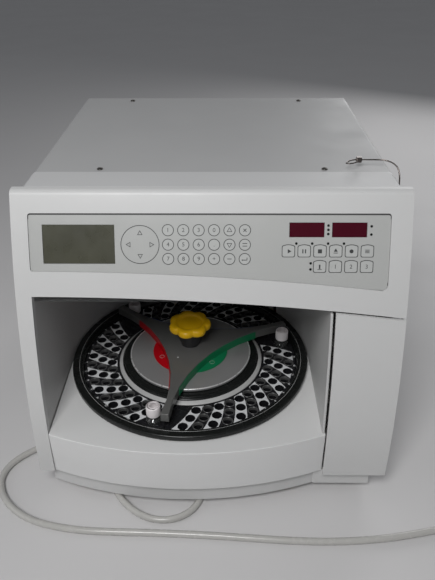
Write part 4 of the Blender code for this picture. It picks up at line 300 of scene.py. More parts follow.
# Each finish: colour, roughness, metallic, mottle, mottle scale, grain scale and grain depth
FINISHES = {
    "housing_white": ((0.60, 0.60, 0.595), 0.42, 0, 0.025, 6, 1400, 0.00003),
    # Painted light: a lighter copy of the housing's white for the deck and its apron, the same moulding as
    # the bezel, standing in for the light the deck catches
    "deck_painted_light_white": ((0.70, 0.70, 0.695), 0.42, 0, 0.025, 6, 1400, 0.00003),
    "cover_grey": ((0.43, 0.43, 0.43), 0.50, 0, 0.03, 6, 800, 0.00006),
    "frame_white": ((0.56, 0.56, 0.56), 0.48, 0, 0.03, 6, 800, 0.00005),
    "tray_grey": ((0.60, 0.60, 0.595), 0.5, 0, 0.05, 8, 1200, 0.00004),
    "liner_white": ((0.52, 0.52, 0.515), 0.5, 0, 0.03, 8, 1200, 0.00003),
    "bay_black": ((0.012, 0.012, 0.012), 0.6, 0, 0.2, 20, 900, 0.00004),
    "overlay_grey": ((0.455, 0.460, 0.448), 0.34, 0, 0.015, 12, 2600, 0.00001),
    "display_dark": ((0.066, 0.066, 0.046), 0.30, 0, 0.30, 26, 500, 0.000005),
    "display_red": ((0.060, 0.002, 0.010), 0.22, 0, 0.12, 40, 500, 0.000005),
    "foot_rubber": ((0.16, 0.11, 0.06), 0.75, 0, 0.15, 60, 1500, 0.00008),
    "rim_black": ((0.010, 0.011, 0.0105), 0.26, 0, 0.2, 12, 700, 0.000012),
    "ring_grey": ((0.46, 0.46, 0.455), 0.38, 0, 0.04, 20, 1500, 0.00002),
    "disc_silver": ((0.30, 0.30, 0.30), 0.34, 0.35, 0.05, 10, 1800, 0.00001),
    "rack_black": ((0.013, 0.013, 0.015), 0.28, 0, 0.2, 30, 1500, 0.00001),
    "star_grey": ((0.165, 0.165, 0.16), 0.34, 0.35, 0.05, 14, 2200, 0.00001),
    "inlay_green": ((0.006, 0.175, 0.070), 0.34, 0, 0.06, 25, 1800, 0.00001),
    "inlay_blue": ((0.01, 0.06, 0.30), 0.34, 0, 0.06, 25, 1800, 0.00001),
    "inlay_red": ((0.43, 0.002, 0.008), 0.34, 0, 0.06, 25, 1800, 0.00001),
    "steel": ((0.52, 0.51, 0.49), 0.28, 1.0, 0.06, 40, 900, 0.00001),
    # Painted reflection: a darker copy of steel for the outlet capillary and its nut, standing in for the
    # dark surroundings they reflect
    "steel_painted_dark_reflection": ((0.16, 0.14, 0.13), 0.22, 1.0, 0.3, 300, 900, 0.00001),
    "dark_plastic": ((0.02, 0.02, 0.022), 0.45, 0, 0.1, 30, 1400, 0.00003),
    "screw_dark": ((0.16, 0.15, 0.14), 0.35, 1.0, 0.15, 200, 1800, 0.00001),
    "knob_yellow": ((0.86, 0.50, 0.003), 0.34, 0, 0.05, 40, 1500, 0.00002),
    "vial_glass": ((0.34, 0.35, 0.35), 0.06, 0, 0.01, 40, 300, 0.000002),
    "cap_white": ((0.88, 0.84, 0.845), 0.4, 0, 0.02, 80, 1500, 0.00002),
    "gear_ivory": ((0.62, 0.60, 0.52), 0.45, 0, 0.04, 50, 1500, 0.00002),
    "board_green": ((0.02, 0.12, 0.05), 0.35, 0, 0.12, 60, 800, 0.00003),
    "hose_clear": ((0.47, 0.462, 0.44), 0.26, 0, 0.03, 30, 400, 0.00001),
    "print_white": ((0.68, 0.69, 0.70), 0.4, 0, 0.05, 60, 1500, 0.00001),
    "print_grey": ((0.050, 0.052, 0.052), 0.4, 0, 0.1, 80, 1500, 0.00001),
    "print_pale": ((0.485, 0.492, 0.480), 0.32, 0, 0.02, 30, 2600, 0.00001),
    # Painted highlight: a bright silver for the bead along the disc's edge
    "painted_highlight_silver": ((0.80, 0.80, 0.80), 0.30, 0.5, 0.03, 40, 1500, 0.00001),
    # Painted highlight: the grey of the black tray's narrow inner lip
    "lip_painted_highlight_grey": ((0.36, 0.36, 0.36), 0.26, 0, 0.05, 30, 1500, 0.00001),
    "print_dim": ((0.30, 0.32, 0.31), 0.4, 0, 0.05, 60, 1500, 0.00001),
    # Painted shadow: the dark band round the keypad overlay, standing in for the shade of its recess's
    # walls
    "painted_shadow_dark": ((0.055, 0.055, 0.055), 0.55, 0, 0.1, 60, 1500, 0.00002),
    "lamp_dark": ((0.012, 0.014, 0.013), 0.2, 0, 0.1, 80, 800, 0.00001),
    # Painted highlight: a grey, lighter than the black rack, for its hole sleeves, standing in for the
    # light their raised lips catch
    "hole_rim_painted_highlight": ((0.085, 0.085, 0.085), 0.30, 0, 0.1, 60, 1500, 0.00001),
}
FLOOR_FINISH = ((0.62, 0.61, 0.61), 0.5, 0, 0.02, 1.5, 60, 0.00002)

# What some finishes add: another spread of their gloss, a drawn-out grain, and other sockets
GLOSS_SPREAD = 0.06
OTHER_GLOSS_SPREADS = {
    "display_dark": 0.05, "display_red": 0.03, "steel": 0.05, "steel_painted_dark_reflection": 0.05, "vial_glass": 0.01,
    "hose_clear": 0.04,
}
GRAIN_STRETCHES = {"steel": (1.0, 1.0, 30.0)}
OTHER_SOCKETS = {
    "display_red": {"Specular IOR Level": 0.25},
    "rim_black": {"Specular IOR Level": 0.32},
    "vial_glass": {"Transmission Weight": 0.92, "IOR": 1.5},
    "hose_clear": {"IOR": 1.42, "Coat Weight": 0.35, "Coat Roughness": 0.12},
}

# Noise: the stretch of its values that is used, and its detail for mottle, gloss and grain
NOISE_LOW = 0.3
NOISE_HIGH = 0.7
MOTTLE_DETAIL = 4.0
GLOSS_DETAIL = 3.0
GRAIN_DETAIL = 2.0
GLOSS_SCALE = 3
GRAIN_STRENGTH = 0.6


def noise_value(nodes, links, scale, detail, place):
    """The value of a noise texture in real-world coordinates."""
    noise = nodes.new("ShaderNodeTexNoise")
    noise.inputs["Scale"].default_value = scale
    noise.inputs["Detail"].default_value = detail
    links.new(place, noise.inputs["Vector"])
    return noise.outputs["Fac"]


def ranged(nodes, links, value, low, high):
    """Map a noise value to a range."""
    spread = nodes.new("ShaderNodeMapRange")
    spread.inputs["From Min"].default_value = NOISE_LOW
    spread.inputs["From Max"].default_value = NOISE_HIGH
    spread.inputs["To Min"].default_value = low
    spread.inputs["To Max"].default_value = high
    links.new(value, spread.inputs["Value"])
    return spread.outputs["Result"]


def surface(name, finish):
    """A procedural material: mottled colour, a fine grain as bump, and uneven gloss."""
    colour, roughness, metallic, mottle, mottle_scale, grain_scale, grain_depth = finish
    material = bpy.data.materials.new(name)
    material.use_nodes = True
    nodes = material.node_tree.nodes
    links = material.node_tree.links
    shader = nodes["Principled BSDF"]
    shader.inputs["Metallic"].default_value = metallic
    place = nodes.new("ShaderNodeTexCoord").outputs["Object"]
    grain_place = place
    if name in GRAIN_STRETCHES:
        mapping = nodes.new("ShaderNodeMapping")
        mapping.inputs["Scale"].default_value = GRAIN_STRETCHES[name]
        links.new(place, mapping.inputs["Vector"])
        grain_place = mapping.outputs["Vector"]
    mix = nodes.new("ShaderNodeMix")
    mix.data_type = "RGBA"
    mix.inputs["A"].default_value = (*[value * (1 - mottle) for value in colour], 1)
    mix.inputs["B"].default_value = (*[min(value * (1 + mottle), 1) for value in colour], 1)
    links.new(noise_value(nodes, links, mottle_scale, MOTTLE_DETAIL, place), mix.inputs["Factor"])
    links.new(mix.outputs["Result"], shader.inputs["Base Color"])
    gloss = noise_value(nodes, links, mottle_scale * GLOSS_SCALE, GLOSS_DETAIL, place)
    spread = OTHER_GLOSS_SPREADS.get(name, GLOSS_SPREAD)
    uneven = ranged(nodes, links, gloss, roughness - spread, roughness + spread)
    links.new(uneven, shader.inputs["Roughness"])
    bump = nodes.new("ShaderNodeBump")
    bump.inputs["Distance"].default_value = grain_depth
    bump.inputs["Strength"].default_value = GRAIN_STRENGTH
    grain = noise_value(nodes, links, grain_scale, GRAIN_DETAIL, grain_place)
    links.new(grain, bump.inputs["Height"])
    links.new(bump.outputs["Normal"], shader.inputs["Normal"])
    for socket, value in OTHER_SOCKETS.get(name, {}).items():
        shader.inputs[socket].default_value = value
    return material


# One material for each finish
MATERIALS = {name: surface(name, finish) for name, finish in FINISHES.items()}


def place_camera():
    """The photograph's camera."""
    cosine = math.cos(CAMERA_PITCH)
    level = Vector((math.cos(CAMERA_YAW), -math.sin(CAMERA_YAW), 0))
    forward = Vector((math.sin(CAMERA_YAW) * cosine, math.cos(CAMERA_YAW) * cosine,
                      -math.sin(CAMERA_PITCH)))
    upward = level.cross(forward)
    right = math.cos(CAMERA_ROLL) * level + math.sin(CAMERA_ROLL) * upward
    up = -math.sin(CAMERA_ROLL) * level + math.cos(CAMERA_ROLL) * upward
    data = bpy.data.cameras.new("camera")
    data.sensor_width = SENSOR
    data.lens = FOCAL_PIXELS * SENSOR / IMAGE_HEIGHT
    data.clip_start = CAMERA_CLIP
    camera = bpy.data.objects.new("camera", data)
    bpy.context.scene.collection.objects.link(camera)
    turn = Matrix((right, up, -forward)).transposed()
    camera.matrix_world = Matrix.Translation(CAMERA_PLACE) @ turn.to_4x4()
    bpy.context.scene.camera = camera


def studio_lamp(name, place, size, power):
    """A soft square lamp that faces the object."""
    data = bpy.data.lights.new(name, "AREA")
    data.size = size
    data.energy = power
    light = bpy.data.objects.new(name, data)
    light.location = place
    light.rotation_euler = (Vector(LAMP_TARGET) - Vector(place)).to_track_quat("-Z", "Y").to_euler()
    bpy.context.scene.collection.objects.link(light)


def make_studio():
    """A plain pale floor and soft light."""
    data = bmesh.new()
    sides = ((-1, -1), (1, -1), (1, 1), (-1, 1))
    data.faces.new([data.verts.new((x * FLOOR_HALF, y * FLOOR_HALF, 0)) for x, y in sides])
    mesh = bpy.data.meshes.new("floor")
    data.to_mesh(mesh)
    data.free()
    floor = bpy.data.objects.new("floor", mesh)
    bpy.context.scene.collection.objects.link(floor)
    floor.data.materials.append(surface("floor", FLOOR_FINISH))
    world = bpy.data.worlds.new("studio")
    world.use_nodes = True
    world.node_tree.nodes["Background"].inputs["Color"].default_value = SKY_COLOUR
    world.node_tree.nodes["Background"].inputs["Strength"].default_value = SKY_STRENGTH
    bpy.context.scene.world = world
    for name, place, size, power in STUDIO_LAMPS:
        studio_lamp(name, place, size, power)


def linked(name, mesh_data, material, body, sharp=BUILT_SHARP_ANGLE):
    """Turn a bmesh into a piece that rides on a body."""
    bmesh.ops.recalc_face_normals(mesh_data, faces=mesh_data.faces)
    mesh = bpy.data.meshes.new(name)
    mesh_data.to_mesh(mesh)
    mesh_data.free()
    mesh.shade_smooth()
    mesh.set_sharp_from_angle(angle=math.radians(sharp))
    piece = bpy.data.objects.new(name, mesh)
    bpy.context.scene.collection.objects.link(piece)
    piece.data.materials.append(MATERIALS[material])
    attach(piece, body)
    return piece


def level_ring(mesh_data, x, y, radius, height, steps):
    """The points of a level circle, added to a bmesh."""
    turns = [math.tau * step / steps for step in range(steps)]
    places = [(x + radius * math.cos(turn), y + radius * math.sin(turn), height) for turn in turns]
    return [mesh_data.verts.new(place) for place in places]


def join_rings(mesh_data, first, second):
    """Faces between two closed rings of equal counts."""
    count = len(first)
    for index in range(count):
        after = (index + 1) % count
        mesh_data.faces.new((first[index], first[after], second[after], second[index]))


def close_stack(mesh_data, rings):
    """Faces between each ring and the next, and a flat face at both ends."""
    for first, second in zip(rings, rings[1:]):
        join_rings(mesh_data, first, second)
    mesh_data.faces.new(list(reversed(rings[0])))
    mesh_data.faces.new(rings[-1])


def close_loop(mesh_data, rings):
    """Faces between each ring and the next, and from the last ring to the first."""
    for first, second in zip(rings, rings[1:] + rings[:1]):
        join_rings(mesh_data, first, second)


def welded(node):
    """The CAD node's mesh with its points welded."""
    mesh_data = bmesh.new()
    mesh_data.from_mesh(frame["nodes"][node].data)
    bmesh.ops.remove_doubles(mesh_data, verts=mesh_data.verts, dist=WELD_DISTANCE)
    return mesh_data


def skin(node, width):
    """A copy of a CAD node with its hard edges rounded, which stands for it."""
    mesh_data = welded(node)
    bmesh.ops.dissolve_limit(mesh_data, angle_limit=math.radians(FLAT_ANGLE), verts=mesh_data.verts,
                             edges=mesh_data.edges, delimit=set())
    hard = []
    for edge in mesh_data.edges:
        if len(edge.link_faces) == 2 and edge.calc_face_angle(0) > math.radians(HARD_ANGLE):
            hard.append(edge)
    if width > 0 and hard:
        bmesh.ops.bevel(mesh_data, geom=hard, offset=width, segments=EDGE_SEGMENTS, profile=0.5,
                        affect="EDGES", clamp_overlap=True)
    slot = SLOT_OF[node]
    finish = OTHER_FINISHES.get(node, slot)
    piece = linked(node + "_finish", mesh_data, finish, BODY_OF[node], SKIN_SHARP_ANGLE)
    harden = piece.modifiers.new("normals", "WEIGHTED_NORMAL")
    harden.keep_sharp = True
    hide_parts(node)


def turned_profile(node, centre):
    """The (radius, height) outline of an upright turned CAD node, in order, and whether it closes."""
    mesh_data = welded(node)
    around = {}
    for vert in mesh_data.verts:
        u = vert.co.x - centre[0]
        v = vert.co.y - centre[1]
        if abs(v) < PLANE_REACH and u > -PLANE_REACH:
            around[vert] = (max(u, 0.0), vert.co.z)
    edges = [edge for edge in mesh_data.edges if edge.verts[0] in around and edge.verts[1] in around]
    edges = [edge for edge in edges if max(around[vert][0] for vert in edge.verts) > NEAR_AXIS]
    near = {}
    for edge in edges:
        first, second = edge.verts
        near.setdefault(first, []).append(second)
        near.setdefault(second, []).append(first)
    ends = [vert for vert, others in near.items() if len(others) == 1]
    start = ends[0] if ends else next(iter(near))
    path = [start]
    before = None
    while True:
        after = [vert for vert in near[path[-1]] if vert is not before and vert is not start]
        before = path[-1]
        if not after:
            break
        path.append(after[0])
    profile = [around[vert] for vert in path]
    mesh_data.free()
    return profile, not ends


def rounded_profile(profile, closed, radius):
    """The outline with its corners rounded by arcs of points."""
    result = []
    count = len(profile)
    for index, corner in enumerate(profile):
        before = profile[index - 1]
        after = profile[(index + 1) % count]
        end = not closed and index in (0, count - 1)
        if end or corner[0] < NEAR_AXIS:
            result.append(corner)
            continue
        place = Vector(corner)
        to_before = Vector(before) - place
        to_after = Vector(after) - place
        reach = min(radius, to_before.length * ROUNDING_SHARE, to_after.length * ROUNDING_SHARE)
        turn = to_before.angle(to_after, math.pi)
        if turn > math.radians(STRAIGHT_ANGLE) or reach < LEAST_ROUNDING:
            result.append(corner)
            continue
        first = place + to_before.normalized() * reach
        last = place + to_after.normalized() * reach
        for part in range(ROUNDING_PARTS + 1):
            t = part / ROUNDING_PARTS
            point = first * (1 - t) ** 2 + place * 2 * t * (1 - t) + last * t ** 2
            result.append((point.x, point.y))
    return result


def spun(node, centre, steps, rounding):
    """A finer turned copy of a turned CAD node, which stands for it."""
    profile, closed = turned_profile(node, centre)
    mesh_data = bmesh.new()
    rings = []
    for distance, height in rounded_profile(profile, closed, rounding):
        if distance > NEAR_AXIS:
            rings.append(level_ring(mesh_data, *centre, distance, height, steps))
        else:
            rings.append([mesh_data.verts.new((centre[0] + distance, centre[1], height))])
    pairs = list(zip(rings, rings[1:]))
    if closed:
        pairs.append((rings[-1], rings[0]))
    for first, second in pairs:
        for step in range(steps):
            after = (step + 1) % steps
            if len(first) == 1 and len(second) == 1:
                break
            if len(first) == 1:
                mesh_data.faces.new((first[0], second[step], second[after]))
            elif len(second) == 1:
                mesh_data.faces.new((first[step], second[0], first[after]))
            else:
                mesh_data.faces.new((first[step], second[step], second[after], first[after]))
    slot = SLOT_OF[node]
    piece = linked(node + "_finish", mesh_data, slot, BODY_OF[node], TURNED_SHARP_ANGLE)
    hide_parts(node)


def smooth_route(points, step):
    """A smooth curve through the given points, read at an even step."""
    count = len(points)
    fine = []
    parts = 12
    for index in range(count - 1):
        last = points[min(index + 2, count - 1)]
        corners = (points[max(index - 1, 0)], points[index], points[index + 1], last)
        for part in range(parts):
            t = part / parts
            cubes = (-t + 2 * t ** 2 - t ** 3, 2 - 5 * t ** 2 + 3 * t ** 3,
                     t + 4 * t ** 2 - 3 * t ** 3, t ** 3 - t ** 2)
            fine.append(Vector([sum(w * c[axis] for w, c in zip(cubes, corners)) / 2 for axis in range(3)]))
    fine.append(Vector(points[-1]))
    lengths = [0.0]
    for first, second in zip(fine, fine[1:]):
        lengths.append(lengths[-1] + (second - first).length)
    pieces = max(round(lengths[-1] / step), 1)
    result = []
    at = 0
    for piece in range(pieces + 1):
        target = lengths[-1] * piece / pieces
        while at < len(fine) - 2 and lengths[at + 1] < target:
            at += 1
        share = (target - lengths[at]) / (lengths[at + 1] - lengths[at])
        result.append(fine[at].lerp(fine[at + 1], share))
    return result


def coil_route():
    """The coil's middle line: in along the first layer and out again along the second."""
    outer = COIL_RADIUS + COIL_PITCH * COIL_LAYER_TURNS / 2
    turns = 2 * COIL_LAYER_TURNS
    points = [Vector((COIL_X - HOSE_STRAIGHT, COIL_Y - outer, HOSE_Z))]
    count = round(turns * COIL_LOOP_POINTS)
    for index in range(count + 1):
        turn = turns * index / count
        radius = outer - COIL_PITCH * (turn if turn < COIL_LAYER_TURNS else turns - turn)
        climb = min(max((turn - COIL_LAYER_TURNS) * 2 + 0.5, 0), 1)
        angle = math.tau * (turn - 0.25)
        points.append(Vector((COIL_X + radius * math.cos(angle), COIL_Y + radius * math.sin(angle),
                              HOSE_Z + COIL_PITCH * climb)))
    points.append(Vector((COIL_X + HOSE_STRAIGHT, COIL_Y - outer, HOSE_Z + COIL_PITCH)))
    return points


def hose_points():
    """The hose's middle line, from the elbow over the bench and through the coil."""
    coil = coil_route()
    end = coil[0]
    route = [(*HOSE_START, HOSE_Z), (HOSE_START[0], HOSE_START[1] - HOSE_STRAIGHT, HOSE_Z)]
    route += [(x, FRONT_Y + y, HOSE_Z) for x, y in HOSE_ROUTE]
    route += [(end.x - HOSE_STRAIGHT, end.y, end.z), tuple(end)]
    return smooth_route(route, HOSE_STEP) + coil[1:]


def make_hose():
    """The drain hose as one soft tube with its bore, from the elbow to its cut end on the coil."""
    points = hose_points()
    mesh_data = bmesh.new()
    side = Vector((1, 0, 0))
    skins = ([], [])
    turns = [math.tau * step / HOSE_SIDES for step in range(HOSE_SIDES)]
    for index, point in enumerate(points):
        before = points[max(index - 1, 0)]
        after = points[min(index + 1, len(points) - 1)]
        along = (after - before).normalized()
        side = (side - along * side.dot(along)).normalized()
        third = along.cross(side)
        for rings, radius in zip(skins, (HOSE_RADIUS, HOSE_BORE)):
            places = [point + radius * (side * math.cos(turn) + third * math.sin(turn)) for turn in turns]
            rings.append([mesh_data.verts.new(place) for place in places])
    for rings in skins:
        for first, second in zip(rings, rings[1:]):
            join_rings(mesh_data, first, second)
    for end in (0, -1):
        join_rings(mesh_data, skins[0][end], skins[1][end])
    hose = linked("drain_hose_tube", mesh_data, "hose_clear", "housing")
    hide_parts("drain_hose", "hose_coil")


def face_point(x, s, depth):
    """A place on the front face: x, s up along its arc, and a depth into it."""
    angle = s / FACE_RADIUS
    radius = FACE_RADIUS - depth
    y = FRONT_Y + FACE_RADIUS - radius * math.cos(angle)
    return Vector((x, y, BEZEL_LOW + radius * math.sin(angle)))


def face_line(mesh_data, outline, depth):
    """The points of an outline on the front face at one depth, added to a bmesh."""
    return [mesh_data.verts.new(face_point(x, s, depth)) for x, s in outline]


def face_strip(mesh_data, outer, inner, high, low):
    """A raised band of the face between two outlines of equal counts, given as (x, s)."""
    edges = ((outer, low), (outer, high), (inner, high), (inner, low))
    close_loop(mesh_data, [face_line(mesh_data, outline, depth) for outline, depth in edges])


def face_plate(mesh_data, outline, high, low):
    """A raised plate of the face inside an outline."""
    rows = [face_line(mesh_data, outline, depth) for depth in (low, high)]
    join_rings(mesh_data, *rows)
    for row in rows:
        mesh_data.faces.new(row)


def circle(x, s, radius, steps=32):
    """The outline of a circle on the face."""
    turns = [math.tau * step / steps for step in range(steps)]
    return [(x + radius * math.cos(turn), s + radius * math.sin(turn)) for turn in turns]


def bar(x, s, width, height):
    """The outline of a small upright rectangle."""
    return [(x + a * width / 2, s + b * height / 2) for a, b in ((1, 1), (-1, 1), (-1, -1), (1, -1))]


def triangle(x, s, size, turn):
    """The outline of a triangle about a place, its tip turned by an angle from straight up."""
    angles = [math.radians(corner + turn) for corner in (90, 210, 330)]
    return [(x + size * math.cos(angle), s + size * math.sin(angle)) for angle in angles]


def square_key(x, s):
    """The outline of a square key with round corners and an arched upper side."""
    reach = SQUARE_KEY_WIDTH / 2 - SQUARE_KEY_CORNER
    rise = SQUARE_KEY_HEIGHT / 2 - SQUARE_KEY_CORNER
    upper = s + SQUARE_KEY_HEIGHT / 2
    points = []
    for side, level, start in ((1, 1, 0), (-1, 1, 90), (-1, -1, 180), (1, -1, 270)):
        for step in range(KEY_CORNER_PARTS + 1):
            angle = math.radians(start + 90 * step / KEY_CORNER_PARTS)
            points.append((x + side * reach + SQUARE_KEY_CORNER * math.cos(angle),
                           s + level * rise + SQUARE_KEY_CORNER * math.sin(angle)))
        if (side, level) == (1, 1):
            for step in range(1, KEY_ARCH_PARTS):
                along = reach - step / KEY_ARCH_PARTS * (SQUARE_KEY_WIDTH - 2 * SQUARE_KEY_CORNER)
                points.append((x + along, upper + SQUARE_KEY_ARCH * (1 - (along / reach) ** 2)))
    return points


def shrunk(outline, x, s, amount, size):
    """An outline drawn in towards its middle."""
    share = 1 - 2 * amount / size
    return [(x + (a - x) * share, s + (b - s) * share) for a, b in outline]


def make_keypad():
    """The keys and the cursor pad printed on the overlay, and its indicators."""
    low = OVERLAY_DEPTH + PRINT_THICKNESS
    top = OVERLAY_DEPTH - PRINT_THICKNESS
    field_top = top + PRINT_THICKNESS / 2
    fields = bmesh.new()
    lines = bmesh.new()
    for x in ROUND_KEYS_X:
        for s in ROUND_KEYS_S:
            inner = circle(x, s, ROUND_KEY_RADIUS - KEY_LINE)
            face_plate(fields, inner, field_top, low)
            face_strip(lines, circle(x, s, ROUND_KEY_RADIUS), inner, top, low)
    squares = [(x, SQUARE_KEYS_S) for x in SQUARE_KEYS_X] + [(x, LOWER_KEYS_S) for x in LOWER_KEYS_X]
    for x, s in squares:
        outline = square_key(x, s)
        inner = shrunk(outline, x, s, KEY_LINE, SQUARE_KEY_WIDTH)
        face_plate(fields, inner, field_top, low)
        face_strip(lines, outline, inner, top, low)
    pad = [circle(*PAD_CENTRE, radius, PAD_STEPS) for radius in (PAD_RADIUS, PAD_RADIUS - KEY_LINE)]
    face_strip(lines, *pad, top, low)
    make_arrows(lines, top, low)
    make_signs(lines, top, low)
    make_cross(lines, ROUND_KEYS_X[5], ROUND_KEYS_S[0], top, low)
    linked("key_lines", lines, "print_grey", "housing")
    linked("key_fields", fields, "print_pale", "housing")
    make_indicators(low)


def make_arrows(lines, top, low):
    """Outlined arrows: four on the cursor pad, and two on round keys."""
    arrows = []
    for turn in (0, 90, 180, 270):
        angle = math.radians(turn + 90)
        x = PAD_CENTRE[0] + PAD_ARROW_ORBIT * math.cos(angle)
        s = PAD_CENTRE[1] + PAD_ARROW_ORBIT * math.sin(angle)
        arrows.append((x, s, PAD_ARROW_SIZE, turn))
    arrows.append((ROUND_KEYS_X[4], ROUND_KEYS_S[0], KEY_ARROW_SIZE, 0))
    arrows.append((ROUND_KEYS_X[4], ROUND_KEYS_S[1], KEY_ARROW_SIZE, 180))
    for x, s, size, turn in arrows:
        outline = triangle(x, s, size, turn)
        face_strip(lines, outline, shrunk(outline, x, s, ARROW_LINE, size), top, low)


def make_signs(lines, top, low):
    """Plain signs on other keys without a number, each from shapes placed from the key's middle."""
    back = ((bar, 0, -0.0012, 0.0050, KEY_LINE), (bar, 0.0024, 0.0002, KEY_LINE, 0.0026),
            (triangle, -0.0026, -0.0012, 0.0010, 90))
    equals = ((bar, 0, 0.0014, 0.0050, KEY_LINE), (bar, 0, -0.0014, 0.0050, KEY_LINE))
    minus = ((bar, 0, 0, 0.0046, KEY_LINE),)
    stand = ((bar, 0, 0, 0.0016, 0.0046), (bar, 0, -0.0030, 0.0046, 0.0006))
    play = ((triangle, 0.0006, 0, 0.0026, -90),)
    pause = ((bar, -0.0014, 0, 0.0012, 0.0044), (bar, 0.0014, 0, 0.0012, 0.0044))
    stop = ((bar, 0, 0, 0.0042, 0.0042),)
    eject = ((triangle, 0, 0.0008, 0.0024, 0), (bar, 0, -0.0018, 0.0044, 0.0008))
    dot = ((circle, 0, 0, 0.0021, 20),)
    rows = tuple((bar, 0, rise, 0.0046, 0.0007) for rise in (0.0014, 0, -0.0014))
    signs = [(ROUND_KEYS_X[5], ROUND_KEYS_S[2], back), (ROUND_KEYS_X[5], ROUND_KEYS_S[1], equals),
             (ROUND_KEYS_X[4], ROUND_KEYS_S[2], minus), (LOWER_KEYS_X[0], LOWER_KEYS_S, stand)]
    for x, sign in zip(SQUARE_KEYS_X, (play, pause, stop, eject, dot, rows)):
        signs.append((x, SQUARE_KEYS_S, sign))
    for x, s, shapes in signs:
        for outline, x_step, s_step, *sizes in shapes:
            face_plate(lines, outline(x + x_step, s + s_step, *sizes), top, low)


def make_cross(lines, x, s, top, low):
    """Two slanted bars, one a little above the other where they cross."""
    for turn, sink_share in CROSS_SINK_SHARES.items():
        angle = math.radians(turn)
        along = Vector((math.cos(angle), math.sin(angle))) * CROSS_REACH
        across = Vector((-math.sin(angle), math.cos(angle))) * KEY_LINE / 2
        corners = [along + across, -along + across, -along - across, along - across]
        outline = [(x + corner.x, s + corner.y) for corner in corners]
        face_plate(lines, outline, top + PRINT_THICKNESS * sink_share, low)


def make_indicators(low):
    """Small round indicator lamps beside the displays and keys."""
    lamps = bmesh.new()
    top = OVERLAY_DEPTH - 3 * PRINT_THICKNESS
    for x, s in INDICATOR_PLACES:
        face_plate(lamps, circle(x, s, INDICATOR_RADIUS, steps=16), top, low)
    linked("indicator_lamps", lamps, "lamp_dark", "housing")


def text_mesh(words, size, boldness):
    """The triangles of a few characters, centred, as a bmesh in the plane."""
    curve = bpy.data.curves.new("words", "FONT")
    curve.body = words
    curve.size = size
    curve.offset = size * boldness
    curve.align_x = "CENTER"
    curve.align_y = "CENTER"
    curve.resolution_u = 3
    maker = bpy.data.objects.new("words", curve)
    bpy.context.scene.collection.objects.link(maker)
    bpy.context.view_layer.update()
    graph = bpy.context.evaluated_depsgraph_get()
    mesh = bpy.data.meshes.new_from_object(maker.evaluated_get(graph))
    result = bmesh.new()
    result.from_mesh(mesh)
    bpy.data.objects.remove(maker, do_unlink=True)
    bpy.data.meshes.remove(mesh)
    return result


def write(target, words, size, place, boldness=0.0):
    """Add characters to a bmesh, each point moved by a function of its (x, y)."""
    glyphs = text_mesh(words, size, boldness)
    made = [target.verts.new(place(vert.co.x, vert.co.y)) for vert in glyphs.verts]
    glyphs.verts.index_update()
    for face in glyphs.faces:
        target.faces.new([made[vert.index] for vert in face.verts])
    glyphs.free()


def make_key_numbers():
    """Plain numbers on the number keys."""
    depth = OVERLAY_DEPTH - PRINT_THICKNESS * KEY_NUMBER_RISE_SHARE
    keys = []
    for s, row in zip(ROUND_KEYS_S, ROUND_KEY_NUMBERS):
        keys += [(x, s, words) for x, words in zip(ROUND_KEYS_X, row)]
    keys += [(x, LOWER_KEYS_S, words) for x, words in zip(LOWER_KEYS_X[1:], LOWER_KEY_NUMBERS)]
    numbers = bmesh.new()
    for x, s, words in keys:
        write(numbers, words, KEY_NUMBER_SIZE, lambda a, b, x=x, s=s: face_point(x + a, s + b, depth))
    linked("key_numbers", numbers, "print_grey", "housing")


def shadow_band_line(x_low, x_high, top, side, rise):
    """One edge of the dark joint and painted shadow: up the left of the overlay, along its top and down its
    right.
    """
    line = [(x_low - side, SHADOW_BAND_END_S[0])]
    for centre_x, start in ((x_low + OVERLAY_CORNER, 180), (x_high - OVERLAY_CORNER, 90)):
        for step in range(SHADOW_BAND_CORNER_PARTS + 1):
            angle = math.radians(start - 90 * step / SHADOW_BAND_CORNER_PARTS)
            line.append((centre_x + (OVERLAY_CORNER + side) * math.cos(angle),
                         top - OVERLAY_CORNER + (OVERLAY_CORNER + rise) * math.sin(angle)))
    line.append((x_high + side, SHADOW_BAND_END_S[1]))
    return line


def make_painted_shadow_band():
    """The dark joint between the overlay and the upper and side walls of its recess, widened into the
    painted shadow of those walls.
    """
    low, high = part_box("keypad_overlay")
    top = FACE_RADIUS * math.asin((high.z - BEZEL_LOW) / (FACE_RADIUS - OVERLAY_DEPTH))
    outer = shadow_band_line(low.x, high.x, top, SHADOW_BAND_WIDTH / 3, SHADOW_BAND_WIDTH / 3)
    inner = shadow_band_line(low.x, high.x, top, -SHADOW_BAND_WIDTH * 2 / 3, -SHADOW_BAND_TOP_WIDTH)
    shade_band = bmesh.new()
    edges = ((outer, SHADOW_BAND_DEPTH - SHADOW_BAND_HEIGHT), (inner, SHADOW_BAND_DEPTH - SHADOW_BAND_HEIGHT),
             (inner, SHADOW_BAND_DEPTH), (outer, SHADOW_BAND_DEPTH))
    rows = [face_line(shade_band, line, depth) for line, depth in edges]
    for first, second in zip(rows, rows[1:] + rows[:1]):
        for index in range(len(outer) - 1):
            shade_band.faces.new((first[index], first[index + 1], second[index + 1], second[index]))
    for index in (0, -1):
        shade_band.faces.new([row[index] for row in rows])
    linked("overlay_painted_shadow", shade_band, "painted_shadow_dark", "housing")


def around_axis(radius, angle, height=0.0):
    """The place at a radius and an angle about the carousel's axis."""
    turn = math.radians(angle)
    return Vector((AXIS_X + radius * math.cos(turn), AXIS_Y + radius * math.sin(turn), height))


def pillar(mesh_data, centre, radius, low, high, steps=28):
    """A round bar added to a bmesh."""
    x, y = centre.xy
    close_stack(mesh_data, [level_ring(mesh_data, x, y, radius, height, steps) for height in (low, high)])


def extruded(mesh_data, outline, low, high):
    """A prism added to a bmesh, its outline anticlockwise."""
    rows = [[mesh_data.verts.new((x, y, height)) for x, y in outline] for height in (low, high)]
    close_stack(mesh_data, rows)


